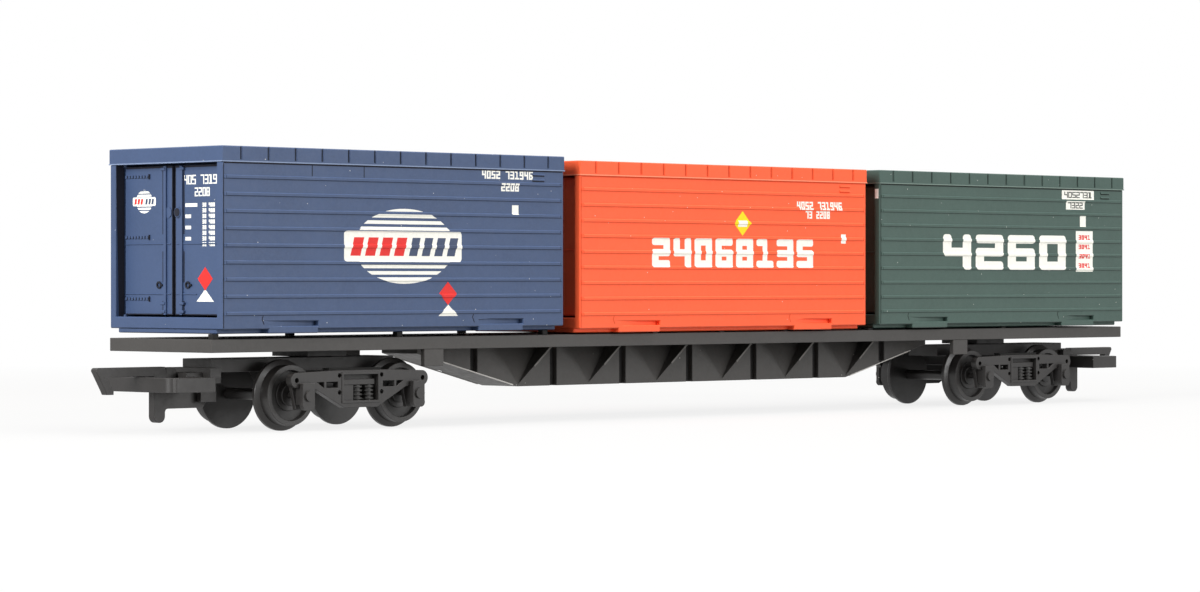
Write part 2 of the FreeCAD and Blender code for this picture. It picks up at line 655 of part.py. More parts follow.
def coupling_loop(name):
    """The buffing loop, its shank and yoke at the bogie beam and the two cheeks for the hook's pin."""
    back = "(buffer_face - loop_length)"
    half = "loop_width / 2"
    corners = [
        ("-buffer_face", f"-{half}"),
        (f"-{back}", f"-{half}"),
        (f"-{back}", half),
        ("-buffer_face", half),
    ]
    front = value_of("loop_corner - buffer_face")
    outer = rounded(prism(corners, "loop_height"), "loop_corner",
                    lambda edge: along(edge, "z") and edge.CenterOfMass.x < front)
    inner = box("-buffer_face + loop_bar", f"loop_bar - {half}", "loop_bottom",
                "loop_length - 2 * loop_bar", "loop_width - 2 * loop_bar", "loop_height")
    ring = cut(place(outer, z="loop_bottom"), [inner])
    shank = box(f"-{back} - loop_bar", "-shank_width / 2", SHANK_BOTTOM,
                f"{back} + loop_bar - shank_end", "shank_width", f"{BEAM_BOTTOM} - {SHANK_BOTTOM}")
    yoke = cut(
        box("-yoke_front", "-yoke_width / 2", "yoke_bottom", "yoke_length", "yoke_width", "yoke_height"),
        [box("-beam_outer", "-beam_width / 2", BEAM_BOTTOM, "yoke_length", "beam_width", "yoke_height")],
    )
    cheek_width = "2 * (cheek_thickness + hook_fit) + hook_thickness"
    cheeks = box("-hook_pin_place - cheek_length / 2", f"-({cheek_width}) / 2", "cheek_bottom",
                 "cheek_length", cheek_width, f"{SHANK_BOTTOM} - cheek_bottom")
    slot_width = "(hook_thickness + 2 * hook_fit)"
    slot_end = "(hook_pin_place - hook_root - 2 * hook_fit)"
    slot = box("-buffer_face + loop_bar", f"-{slot_width} / 2", "cheek_bottom",
               f"buffer_face - loop_bar - {slot_end}", slot_width, f"{BEAM_BOTTOM} - cheek_bottom")
    hole = rod("-hook_pin_place", f"-({cheek_width}) / 2", "hook_pin_height", "hook_pin_diameter",
               cheek_width, "y")
    return cut(join([ring, shank, yoke, cheeks]), [slot, hole], name)


def coupling_hook(name):
    """The coupling hook: arm, drop tail, bar over the loop and nose, drilled for its pin."""
    bar_bottom = "(loop_bottom + loop_height + hook_bar_gap)"
    bar_top = f"({bar_bottom} + hook_bar_depth)"
    tail_front = "(buffer_face - loop_bar - hook_tail_clear)"
    tail_back = f"({tail_front} - hook_tail_width)"
    root = "(hook_pin_place - hook_root)"
    foot = "(hook_reach - nose_lean)"
    foot_top = "(nose_tip + nose_foot_height)"
    points = [
        (f"-{root}", "hook_arm_top"),
        (f"-{root}", "hook_pin_height - hook_root"),
        (f"-{root} - hook_root", "hook_arm_bottom"),
        (f"-{tail_back}", "hook_arm_bottom"),
        (f"-{tail_back}", "hook_tail_bottom"),
        (f"-{tail_front}", "hook_tail_bottom"),
        (f"-{tail_front}", bar_bottom),
        ("-hook_reach + nose_depth", bar_bottom),
        (f"-{foot} + nose_waist", foot_top),
        (f"-{foot} + nose_foot", foot_top),
        (f"-{foot} + nose_foot", "nose_tip"),
        (f"-{foot} + nose_foot_height / 2", "nose_tip"),
        (f"-{foot}", foot_top),
        ("-hook_reach", bar_top),
        (f"-{tail_back}", bar_top),
        (f"-{tail_back} + hook_shoulder", "hook_arm_top"),
    ]
    arm = slab(points, "hook_thickness")
    low = value_of("hook_tail_bottom + hook_tail_round")
    arm = rounded(arm, "hook_tail_round", lambda edge: along(edge, "y") and edge.CenterOfMass.z < low)
    corners = [
        (value_of("-hook_reach"), value_of(bar_top)),
        (value_of(f"-{tail_back}"), value_of("hook_arm_bottom")),
    ]

    def at_corner(edge):
        """Whether an edge is the nose's top corner or the one between the arm and the tail."""
        spot = edge.CenterOfMass
        return along(edge, "y") and any(abs(spot.x - x) + abs(spot.z - z) < NEARLY for x, z in corners)

    arm = rounded(arm, "hook_round", at_corner)
    hole = rod("-hook_pin_place", "-hook_thickness / 2", "hook_pin_height",
               "hook_pin_diameter + 2 * hook_pin_fit", "hook_thickness", "y")
    return cut(arm, [hole], name)


def hook_pin(name):
    """The pin through the cheeks and the hook."""
    length = "2 * (cheek_thickness + hook_fit) + hook_thickness"
    pin = rod("-hook_pin_place", f"-({length}) / 2", "hook_pin_height", "hook_pin_diameter", length, "y")
    return group([pin], name)


def wheelset(name):
    """Two flanged wheels on their axle, turned in one piece."""
    back = "(back_to_back / 2)"
    front = f"({back} + wheel_width)"
    dish = f"({front} - dish_depth)"
    end = "(frame_face + axlebox_out - axlebox_depth + journal_reach)"
    half = [
        (back, "axle_diameter / 2"),
        (back, "flange_diameter / 2"),
        (f"{back} + flange_rim", "flange_diameter / 2"),
        (f"{back} + flange_root", "tread_diameter / 2"),
        (front, "tread_diameter / 2"),
        (front, "tread_diameter / 2 - rim_thickness"),
        (dish, "tread_diameter / 2 - rim_thickness"),
        (dish, "hub_collar / 2"),
        (f"{dish} + hub_collar_height", "hub_collar / 2"),
        (f"{dish} + hub_collar_height", "hub_diameter / 2"),
        (f"{front} - hub_drop", "hub_diameter / 2"),
        (f"{front} - hub_drop", "journal_diameter / 2"),
        (f"{end} - journal_diameter / 2", "journal_diameter / 2"),
        (end, "0"),
    ]
    other = [(f"-({y})", radius) for y, radius in reversed(half)]
    return turned(half + other, name)


# The containers, each built about the middle of its own base


def fork_pocket(place_x, side):
    """The sloped recess of one fork pocket, flush at its left edge and deepest at its right."""
    left = f"({place_x} - pocket_length / 2)"
    right = f"({place_x} + pocket_length / 2)"
    face = f"{side} * box_width / 2"
    wedge = prism([(left, face), (right, face), (right, f"{face} - {side} * pocket_depth")], "pocket_height")
    return place(wedge, z="base_height + pocket_low")


def container_body(name):
    """A container's base, floor, walls, door posts and ribbed sides, open at the top and at the doors."""
    height = "(box_height - lid_skirt)"
    shell = centred("0", "0", "base_height", "box_length", "box_width", height)
    room = box("-box_length / 2 + wall", "-box_width / 2 + wall", "base_height + wall",
               "box_length - 2 * wall", "box_width - 2 * wall", height)
    doorway = box("-box_length / 2", "-box_width / 2 + post_width", "base_height + sill_height",
                  "wall + door_recess", "box_width - 2 * post_width", height)
    base = centred("0", "0", "0", "box_length - 2 * base_end_inset", "box_width - 2 * base_inset",
                   "base_height")
    post_depth = "door_recess + door_thickness + wall"
    solids = [
        box("-box_length / 2", y, "base_height", post_depth, "post_width", height)
        for y in ("-box_width / 2", "box_width / 2 - post_width")
    ]
    solids.append(box("-box_length / 2", "-box_width / 2", "base_height", post_depth, "box_width",
                      "sill_height"))
    for rib in range(SIDE_RIBS):
        z = f"base_height + side_rib_last + {rib} * {SIDE_RIB_PITCH} - side_rib_height / 2"
        for side in (-1, 1):
            solids.append(centred("0", f"{side} * (box_width + side_rib_depth) / 2", z,
                                  "box_length - 2 * side_rib_inset", "side_rib_depth", "side_rib_height"))
        solids.append(centred("(box_length + side_rib_depth) / 2", "0", z, "side_rib_depth",
                              "box_width - 2 * side_rib_inset", "side_rib_height"))
    holes = [
        rod(DOOR_FRONT, f"{side} * {DOOR_HINGE}", "base_height + sill_height - door_pin_reach",
            "door_pin + 2 * door_pin_fit", "door_pin_reach")
        for side in (-1, 1)
    ]
    for side in (-1, 1):
        for place_x in ("-pocket_place", "pocket_place"):
            y, depth = facing(side, "box_width / 2 - base_inset", "box_width / 2")
            left = f"{place_x} - pocket_length / 2"
            solids.append(box(left, y, "0", "pocket_length", depth, "base_height"))
            holes.append(fork_pocket(place_x, side))
    return cut(join([cut(shell, [room, doorway]), base] + solids), holes, name)


def container_roof(name):
    """A container's roof with its edge, its upright lines and the rib that fits inside the walls."""
    length = "(box_length + 2 * lid_overhang)"
    width = "(box_width + 2 * lid_overhang)"
    block = centred("0", "0", LID_LOW, length, width, "lid_skirt")
    start = "(-box_length / 2 + door_recess + door_thickness + 2 * wall)"
    end = "(box_length / 2 - wall - lid_fit)"
    across = "(box_width - 2 * wall - 2 * lid_fit)"
    lip = box(start, f"-{across} / 2", f"{LID_LOW} - lid_lip", f"{end} - {start}", across, "lid_lip")
    room = box(f"{start} + wall", f"-{across} / 2 + wall", f"{LID_LOW} - lid_lip",
               f"{end} - {start} - 2 * wall", f"{across} - 2 * wall", "lid_lip + lid_skirt - wall")
    cuts = [room]
    for side in (-1, 1):
        for line in range(LID_LINES):
            cuts.append(centred(f"{line - LID_LINES // 2} * {LID_GROOVE_PITCH}",
                                f"{side} * ({width} - lid_groove_depth) / 2", f"{LID_LOW} + lid_band",
                                "lid_groove", "lid_groove_depth", "lid_skirt"))
        cuts.append(rod(DOOR_FRONT, f"{side} * {DOOR_HINGE}", LID_LOW, "door_pin + 2 * door_pin_fit",
                        "door_pin_reach"))
    return cut(join([block, lip]), cuts, name)


def container_door(side, name):
    """One door leaf with its pins and locking bar; the near leaf has the latch, the far one its plate."""
    closing = "(door_meeting / 2)"
    low = "(base_height + sill_height + door_gap)"
    height = "(box_height - lid_skirt - sill_height - 2 * door_gap)"
    y, width = facing(side, closing, DOOR_HINGE)
    leaf = box(DOOR_FRONT, y, low, "door_thickness", width, height)
    bar = box(f"{DOOR_FRONT} - door_bar_out", f"{side} * ({closing} + door_bar_inset) - door_bar / 2", low,
              "door_bar_out", "door_bar", height)
    latch_out = "strike_height" if side > 0 else "knob_height"
    latch = rod(f"{DOOR_FRONT} - {latch_out}", f"{side} * ({closing} + knob_inset + knob_diameter / 2)",
                "base_height + box_height - knob_drop", "knob_diameter", latch_out, "x")
    pin = "(door_gap + door_pin_reach - door_pin_fit)"
    pins = [
        rod(DOOR_FRONT, f"{side} * {DOOR_HINGE}", z, "door_pin", pin)
        for z in (f"{low} - {pin}", f"{low} + {height}")
    ]
    return join([leaf, bar, latch] + pins, name)


# Put the pieces together

CONTAINERS = [
    # colour, place along the wagon, height of its seats
    ("blue", f"-{BOX_PITCH}", "seat_blue"),
    ("orange", "0", "seat_orange"),
    ("green", BOX_PITCH, "seat_green"),
]
ENDS = [
    # name, side of the wagon
    ("left", -1),
    ("right", 1),
]
BOGIE_PIECES = [
    # maker, last words of the piece's name
    (bogie_frame, "bogie_frame"),
    (bogie_springs, "bogie_springs"),
    (coupling_loop, "coupling_loop"),
    (coupling_hook, "coupling_hook"),
    (hook_pin, "hook_pin"),
]

pieces = [deck_frame(), spine_girder(), side_boxes(), container_seats()]
for end_name, end in ENDS:
    turn = FreeCAD.Rotation(180 if end > 0 else 0, 0, 0)
    pieces.append(bogie_pivot(end, f"{end_name}_bogie_pivot"))
    for make, words in BOGIE_PIECES:
        piece = make(f"{end_name}_{words}")
        piece.Placement = FreeCAD.Placement(FreeCAD.Vector(), turn)
        pieces.append(place(piece, f"{end} * {BOGIE_PLACE}"))
    for axle_name, axle in (("outer", 1), ("inner", -1)):
        wheels = wheelset(f"{end_name}_{axle_name}_wheelset")
        pieces.append(place(wheels, f"{end} * ({BOGIE_PLACE} + {axle} * wheelbase / 2)", "0", AXLE))
for colour, x, seat in CONTAINERS:
    for piece in (
        container_body(f"{colour}_container_body"),
        container_roof(f"{colour}_container_roof"),
        container_door(-1, f"{colour}_near_door"),
        container_door(1, f"{colour}_far_door"),
    ):
        pieces.append(place(piece, x, "0", f"deck_top + {seat}"))

doc.recompute()

failed = [thing.Label for thing in doc.Objects if {"Invalid", "Error"} & set(thing.State)]
if failed:
    raise RuntimeError(f"failed to build: {failed}")
for piece in pieces:
    piece.Label = piece.Name
    if piece.Shape.isNull() or not piece.Shape.isValid():
        raise RuntimeError(f"bad shape: {piece.Label}")

os.makedirs("parts", exist_ok=True)
for piece in pieces:
    piece.Shape.exportStep(f"parts/{piece.Label}.step")
    room = piece.Shape.BoundBox
    spans = (room.XMin, room.XMax, room.YMin, room.YMax, room.ZMin, room.ZMax)
    print(piece.Label, len(piece.Shape.Solids), round(piece.Shape.Volume, 1), [round(v, 2) for v in spans])
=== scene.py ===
"""Looks of the toy flat wagon with its three containers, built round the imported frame.

Every shape is worked in millimetres in the wagon's own frame (X along the wagon, Z up,
nothing below the wheels) and handed over in metres at the end.
"""

import logging
import math
from dataclasses import dataclass, field
from enum import Enum
from typing import Iterable, Optional, Sequence

import bmesh
import bpy
from mathutils import Matrix, Vector


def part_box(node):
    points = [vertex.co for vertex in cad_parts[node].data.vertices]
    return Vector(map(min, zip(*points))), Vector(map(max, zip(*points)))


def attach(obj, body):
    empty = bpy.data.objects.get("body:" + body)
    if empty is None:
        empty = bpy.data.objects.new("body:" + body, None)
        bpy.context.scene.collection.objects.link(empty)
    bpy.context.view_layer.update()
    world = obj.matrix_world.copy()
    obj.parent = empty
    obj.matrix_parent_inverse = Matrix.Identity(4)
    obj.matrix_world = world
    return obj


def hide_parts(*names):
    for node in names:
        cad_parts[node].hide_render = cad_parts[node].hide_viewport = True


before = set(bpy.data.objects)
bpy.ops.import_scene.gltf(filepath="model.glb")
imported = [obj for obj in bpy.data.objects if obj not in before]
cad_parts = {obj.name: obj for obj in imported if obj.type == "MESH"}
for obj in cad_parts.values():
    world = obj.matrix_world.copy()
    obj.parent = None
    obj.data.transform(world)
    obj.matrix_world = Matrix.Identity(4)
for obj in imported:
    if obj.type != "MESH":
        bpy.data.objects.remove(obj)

LOG = logging.getLogger("flat_wagon")
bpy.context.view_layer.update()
MM = 0.001
Point = tuple[float, float, float]
Flat = tuple[float, float]
Colour = tuple[int, int, int]
Shade = tuple[float, float, float, float]
Mark = tuple[Flat, Flat]

# Limits of the mesh work: distances at which corners count as one, angles between faces, the
# shortest edge that takes a bevel, in widths of that bevel, and the most corners of a face that
# stays whole before bevelling.
MERGE_ROOM = 0.002
CUT_ROOM = 1e-5
SMOOTH_ANGLE = math.radians(24)
FLAT_ANGLE = math.radians(0.5)
SHARP_ANGLE = math.radians(40)
SHORTEST_EDGE = 2.2
BROAD_FACE = 12

# Facets of round shapes and of rounded corners.
ROD_STEPS = 28
TURNED_STEPS = 48
RING_STEPS = 28
RING_BAR_STEPS = 8
OVAL_STEPS = 72
BAR_CORNER_STEPS = 5
DIGIT_CORNER_STEPS = 3

# Depths of thin things: a dark line, a film of ink, and how far one ink stands over another.
LINE_DEPTH = 0.05
INK_FILM = 0.03
INK_LIFT = 0.018
INK_STEP = 0.012

# How far the side panels are drawn in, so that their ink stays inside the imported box.
SIDE_DRAW = 0.046

UPRIGHT: Point = (0, 0, 1)

# Ranges of shader values: the middle of a noise, and how much shows as a value rises.
NOISE_MIDDLE: Flat = (0.3, 0.7)
FULL: Flat = (0.0, 1.0)
FADED: Flat = (1.0, 0.0)

# Sockets of a Mix node that blends colours.
MIX_FACTOR, MIX_LOW, MIX_HIGH, MIX_RESULT = 0, 6, 7, 2

# Made-up numbers that the containers show.
LONG_NUMBER = "4052 731946"
SHORT_NUMBER = "2208"

# Roughness of the painted shade in joints and of the painted highlight along the roofs' lower edges.
SHADE_ROUGHNESS = 0.8
BEAD_HIGHLIGHT_ROUGHNESS = 0.45

# Three by five cells of each digit from 0 to 9, row by row from the top, and the gap between
# digits in widths of their upright strokes.
DIGIT_GAP = 0.55
DIGIT_CELLS = (
    "111101101101111", "110010010010111", "111001111100111", "111001111001111", "101101111001001",
    "111100111001111", "111100111101111", "111001001001001", "111101111101111", "111101111001111",
)

# The painted shade in each container's joints, gaps and deep corners, and the painted highlight along
# its roof's lower edge.
SHADES: dict[str, Colour] = {"blue": (27, 29, 40), "orange": (226, 78, 42), "green": (34, 43, 39)}
BEAD_HIGHLIGHTS: dict[str, Colour] = {"blue": (126, 142, 172), "orange": (255, 148, 112),
                            "green": (112, 130, 122)}


class Ink(Enum):
    """An ink, as its colour."""

    WHITE = (252, 251, 242)
    RED = (226, 48, 44)
    NAVY = (66, 78, 104)
    YELLOW = (250, 222, 30)
    DARK = (70, 74, 72)


class Facing(Enum):
    """The way a face of a container looks, as its turn about the upright axis in degrees."""

    NEAR = 0
    LEFT = -90
    FAR = 180


class Side(Enum):
    """A side of the wagon, as the sign of Y."""

    NEAR = -1
    FAR = 1


class End(Enum):
    """An end of the wagon, as the sign of X."""

    LEFT = -1
    RIGHT = 1


def linear(colour: Colour) -> Shade:
    """Turns a colour as it is seen into the shader's linear one.

    Args:
        colour: red, green and blue from 0 to 255.

    Returns:
        Linear red, green, blue and an alpha of 1.
    """

    def channel(level: float) -> float:
        """Returns one linear channel."""
        return level / 12.92 if level <= 0.04045 else ((level + 0.055) / 1.055) ** 2.4

    red, green, blue = (channel(level / 255) for level in colour)
    return red, green, blue, 1.0


class Shading:
    """A material's node tree, with short calls that add nodes and join them."""

    def __init__(self, name: str) -> None:
        """Starts an empty material.

        Args:
            name: the material's name.
        """
        self.material = bpy.data.materials.new(name)
        self.material.use_nodes = True
        self.tree = self.material.node_tree
        self.tree.nodes.clear()
        self.output = self.add("ShaderNodeOutputMaterial")
        self.coordinates = self.add("ShaderNodeTexCoord")
        self.millimetres = self.add("ShaderNodeMapping")
        self.millimetres.inputs["Scale"].default_value = (1 / MM,) * 3
        self.join(self.coordinates, "Object", self.millimetres, "Vector")

    def add(self, kind: str, **settings: object) -> bpy.types.Node:
        """Adds a node.

        Args:
            kind: the node's type.
            settings: values set on the node itself.

        Returns:
            The new node.
        """
        node = self.tree.nodes.new(kind)
        for key, value in settings.items():
            setattr(node, key, value)
        return node

    def join(self, source: bpy.types.Node, out: str | int, target: bpy.types.Node,
             into: str | int) -> None:
        """Links one node's output to another's input.

        Args:
            source: the node that gives the value.
            out: its output's name or number.
            target: the node that takes the value.
            into: its input's name or number.
        """
        self.tree.links.new(source.outputs[out], target.inputs[into])

    def noise(self, scale: float, detail: float) -> bpy.types.Node:
        """Adds noise of a given scale per millimetre.

        Args:
            scale: how many swells fit in a millimetre.
            detail: how many finer layers it has.

        Returns:
            The noise node.
        """
        node = self.add("ShaderNodeTexNoise")
        node.inputs["Scale"].default_value = scale
        node.inputs["Detail"].default_value = detail
        self.join(self.millimetres, 0, node, "Vector")
        return node

    def ranged(self, source: bpy.types.Node, out: str | int, before: Flat,
               after: Flat) -> bpy.types.Node:
        """Maps a value from one range to another and clamps it.

        Args:
            source: the node that gives the value.
            out: its output's name or number.
            before: the range that the value has.
            after: the range that it gets.

        Returns:
            The range node.
        """
        node = self.add("ShaderNodeMapRange")
        for key, value in zip(("From Min", "From Max", "To Min", "To Max"), (*before, *after)):
            node.inputs[key].default_value = value
        self.join(source, out, node, "Value")
        return node

    def product(self, first: bpy.types.Node, second: bpy.types.Node) -> bpy.types.Node:
        """Multiplies the first outputs of two nodes.

        Args:
            first: one node.
            second: the other.

        Returns:
            The node that gives the product.
        """
        node = self.add("ShaderNodeMath", operation="MULTIPLY")
        self.join(first, 0, node, 0)
        self.join(second, 0, node, 1)
        return node

    def blended(self, factor: bpy.types.Node, low: bpy.types.Node | Shade,
                high: Shade) -> bpy.types.Node:
        """Blends two colours.

        Args:
            factor: the node whose first output says how much of the second colour shows.
            low: a linear colour, or another blend node.
            high: a linear colour.

        Returns:
            The blend node.
        """
        node = self.add("ShaderNodeMix", data_type="RGBA")
        self.join(factor, 0, node, MIX_FACTOR)
        if isinstance(low, bpy.types.Node):
            self.join(low, MIX_RESULT, node, MIX_LOW)
        else:
            node.inputs[MIX_LOW].default_value = low
        node.inputs[MIX_HIGH].default_value = high
        return node

    def principled(self, tone: bpy.types.Node, roughness: bpy.types.Node, setting: str,
                   value: float) -> bpy.types.Node:
        """Adds the shader of a finish.

        Args:
            tone: the blend node that gives its colour.
            roughness: the node whose first output gives its roughness.
            setting: the name of one more input.
            value: that input's value.

        Returns:
            The shader node.
        """
        node = self.add("ShaderNodeBsdfPrincipled")
        node.inputs[setting].default_value = value
        self.join(tone, MIX_RESULT, node, "Base Color")
        self.join(roughness, 0, node, "Roughness")
        return node

    def surface(self, shader: bpy.types.Node) -> bpy.types.Material:
        """Ends the tree with a shader and returns the material."""
        self.join(shader, 0, self.output, "Surface")
        return self.material


def toned(colour: Colour, share: float) -> Shade:
    """Returns a colour made lighter or darker by a share, in linear values."""
    red, green, blue, alpha = linear(colour)
    return red * share, green * share, blue * share, alpha


@dataclass(frozen=True)
class MouldedPlastic:
    """Satin moulded plastic: a fine grain, clouded tone and a few specks of dust.

    Every scale counts swells per millimetre. upper_edge is a painted highlight on the bevels that
    face up and under_edge painted shade on those that face down, as light from above falls on them;
    bevel_starts and bevel_ends are the slopes between which they show.
    """

    name: str
    colour: Colour
    slot: str
    roughness: float = 0.5
    roughness_spread: Flat = (-0.05, 0.07)
    specular: float = 0.4
    tone_spread: float = 0.07
    grain: float = 0.35
    dust: float = 0.55
    dust_edge: float = 0.02
    dust_colour: Colour = (214, 214, 208)
    upper_edge: float = 1.5
    under_edge: float = 0.55
    bevel_starts: Flat = (0.45, 0.6)
    bevel_ends: Flat = (0.82, 0.95)
    cloud_scale: float = 0.12
    fleck_scale: float = 2.2
    fleck_range: Flat = (0.35, 0.65)
    fleck_share: Flat = (0.0, 0.5)
    speck_scale: float = 0.42
    speck_radius: Flat = (0.026, 0.044)
    gloss_scale: float = 0.8
    grain_scale: float = 4.5
    grain_depth: float = 0.02

    def edged(self, sheet: Shading, tone: bpy.types.Node) -> bpy.types.Node:
        """Paints a highlight on the bevels that face up and shade on those that face down, as light from
        above falls on them.

        Args:
            sheet: the material's tree.
            tone: the node that gives the plain colour.

        Returns:
            The node that gives the edged colour.
        """
        parts = sheet.add("ShaderNodeSeparateXYZ")
        sheet.join(sheet.coordinates, "Normal", parts, 0)
        for way, share in ((1, self.upper_edge), (-1, self.under_edge)):
            into, out = (sheet.ranged(parts, "Z", (way * low, way * high), shown) for (low, high), shown
                         in ((self.bevel_starts, FULL), (self.bevel_ends, FADED)))
            tone = sheet.blended(sheet.product(into, out), tone, toned(self.colour, share))
        return tone

    def material(self) -> bpy.types.Material:
        """Builds the plastic's node tree and returns the material."""
        sheet = Shading(self.name)
        cloud = sheet.ranged(sheet.noise(self.cloud_scale, detail=3.0), 0, NOISE_MIDDLE, FULL)
        tone = sheet.blended(cloud, toned(self.colour, 1 - self.tone_spread),
                             toned(self.colour, 1 + self.tone_spread))
        fleck = sheet.ranged(sheet.noise(self.fleck_scale, detail=2.0), 0, self.fleck_range,
                             self.fleck_share)
        fine = sheet.blended(fleck, tone, toned(self.colour, 1 + 2 * self.tone_spread))
        specks = sheet.add("ShaderNodeTexVoronoi")
        specks.inputs["Scale"].default_value = self.speck_scale
        sheet.join(sheet.millimetres, 0, specks, "Vector")
        near = sheet.ranged(specks, "Distance", self.speck_radius, FADED)
        chosen = sheet.ranged(specks, "Color", (1 - self.dust, 1 + self.dust_edge - self.dust),
                              FULL)
        dusty = sheet.blended(sheet.product(near, chosen), self.edged(sheet, fine),
                              linear(self.dust_colour))
        low, high = self.roughness_spread
        gloss = sheet.ranged(sheet.noise(self.gloss_scale, detail=3.0), 0, NOISE_MIDDLE,
                             (self.roughness + low, self.roughness + high))
        shader = sheet.principled(dusty, gloss, "Specular IOR Level", self.specular)
        bump = sheet.add("ShaderNodeBump")
        bump.inputs["Strength"].default_value = self.grain
        bump.inputs["Distance"].default_value = self.grain_depth * MM
        sheet.join(sheet.noise(self.grain_scale, detail=3.0), 0, bump, "Height")
        sheet.join(bump, 0, shader, "Normal")
        return sheet.surface(shader)


@dataclass(frozen=True)
class PrintedInk:
    """Ink printed on moulded plastic: nearly even, with faint thin places."""

    name: str
    colour: Colour
    slot: str
    roughness: float = 0.55
    roughness_spread: float = 0.05
    specular: float = 0.3
    thin_scale: float = 1.6
    thin_range: Flat = (0.42, 0.72)
    thin_share: float = 0.93
    gloss_scale: float = 1.1

    def material(self) -> bpy.types.Material:
        """Builds the ink's node tree and returns the material."""
        sheet = Shading(self.name)
        thin = sheet.ranged(sheet.noise(self.thin_scale, detail=4.0), 0, self.thin_range, FULL)
        tone = sheet.blended(thin, linear(self.colour), toned(self.colour, self.thin_share))
        gloss = sheet.ranged(sheet.noise(self.gloss_scale, detail=2.0), 0, NOISE_MIDDLE,
                             (self.roughness - self.roughness_spread,
                              self.roughness + self.roughness_spread))
        return sheet.surface(sheet.principled(tone, gloss, "Specular IOR Level", self.specular))


@dataclass(frozen=True)
class PinSteel:
    """Dull steel of the hook's pin, with fine turning marks."""

    name: str = "pin_steel"
    colour: Colour = (150, 150, 152)
    slot: str = "pin_metal"
    mark_scale: float = 7.0
    mark_roughness: Flat = (0.28, 0.46)
    stain_scale: float = 0.9
    stain_range: Flat = (0.4, 0.7)
    stain_share: float = 0.7

    def material(self) -> bpy.types.Material:
        """Builds the steel's node tree and returns the material."""
        sheet = Shading(self.name)
        marks = sheet.ranged(sheet.noise(self.mark_scale, detail=2.0), 0, NOISE_MIDDLE,
                             self.mark_roughness)
        stain = sheet.ranged(sheet.noise(self.stain_scale, detail=3.0), 0, self.stain_range, FULL)
        tone = sheet.blended(stain, linear(self.colour), toned(self.colour, self.stain_share))
        return sheet.surface(sheet.principled(tone, marks, "Metallic", 1.0))


Finish = MouldedPlastic | PrintedInk | PinSteel
MATERIALS: dict[str, bpy.types.Material] = {}

# The black parts, with lighter copies of their plastic as painted highlights and darker ones as painted
# shade.
CHASSIS = MouldedPlastic("chassis_black", (60, 58, 56), "chassis_plastic",
                         tone_spread=0.08, grain=0.4, dust=0.3)
# A painted highlight along the girder bays' lit slanting edges.
CHASSIS_EDGE_HIGHLIGHT = MouldedPlastic("chassis_edge", (104, 102, 98), "chassis_plastic",
                              roughness=0.45, specular=0.5, tone_spread=0.05, grain=0.3, dust=0.1)
# A painted highlight along the lit lower edges of the girder's rising ends.
CHASSIS_RISE_HIGHLIGHT = MouldedPlastic("chassis_worn", (196, 193, 188), "chassis_plastic",
                              roughness=0.45, specular=0.5, tone_spread=0.05, grain=0.3, dust=0.1)
# A darker copy of the chassis plastic, as painted shade on the pivots, springs and wheel dishes deep
# under the wagon.
DEEP_SHADE = MouldedPlastic("chassis_deep", (38, 37, 36), "chassis_plastic",
                      roughness=0.45, tone_spread=0.05, grain=0.3, dust=0.05)
# Painted shade for the seats, the girder's groove backs and the backs of the bogie windows.
GROOVE_SHADE = PrintedInk("groove_shade", (24, 23, 22), "chassis_plastic", SHADE_ROUGHNESS)
WHEELS = MouldedPlastic("wheel_black", (35, 33, 32), "wheel_plastic",
                        roughness=0.36, specular=0.5, tone_spread=0.08, grain=0.25, dust=0.1)
# The bogie's upward bevels take a strong painted highlight.
BOGIE = MouldedPlastic("bogie_black", (35, 33, 32), "chassis_plastic",
                       roughness=0.46, specular=0.45, tone_spread=0.08, grain=0.4, dust=0.2,
                       upper_edge=2.4)

# The containers, with painted highlight and shade on their bevels.
BLUE = MouldedPlastic("container_blue", (58, 76, 109), "blue_plastic",
                      upper_edge=1.4, under_edge=0.58)
ORANGE = MouldedPlastic("container_orange", (252, 98, 55), "orange_plastic",
                        roughness=0.48, specular=0.35, tone_spread=0.03,
                        upper_edge=1.2, under_edge=0.87)
GREEN = MouldedPlastic("container_green", (61, 82, 75), "green_plastic",
                       upper_edge=1.35, under_edge=0.62)


def dressed(finish: Finish) -> bpy.types.Material:
    """Returns a finish's material, made the first time that it is asked for."""
    if finish.name not in MATERIALS:
        MATERIALS[finish.name] = finish.material()
    return MATERIALS[finish.name]


def added(name: str, data: bpy.types.ID) -> bpy.types.Object:
    """Adds an object to the scene.

    Args:
        name: its name.
        data: its mesh, lamp or camera.

    Returns:
        The object.
    """
    shape = bpy.data.objects.new(name, data)
    bpy.context.scene.collection.objects.link(shape)
    return shape


def meshed(name: str, mesh: bmesh.types.BMesh, material: bpy.types.Material) -> bpy.types.Object:
    """Ends the work on a mesh and adds it to the scene.

    Args:
        name: the object's name.
        mesh: the mesh, which is freed.
        material: what it is made of.

    Returns:
        The object.
    """
    data = bpy.data.meshes.new(name)
    mesh.to_mesh(data)
    mesh.free()
    data.materials.append(material)
    return added(name, data)


def upright_to(along: Point) -> Matrix:
    """Returns the turn that takes the upright axis to a direction."""
    return Vector(UPRIGHT).rotation_difference(Vector(along)).to_matrix().to_4x4()


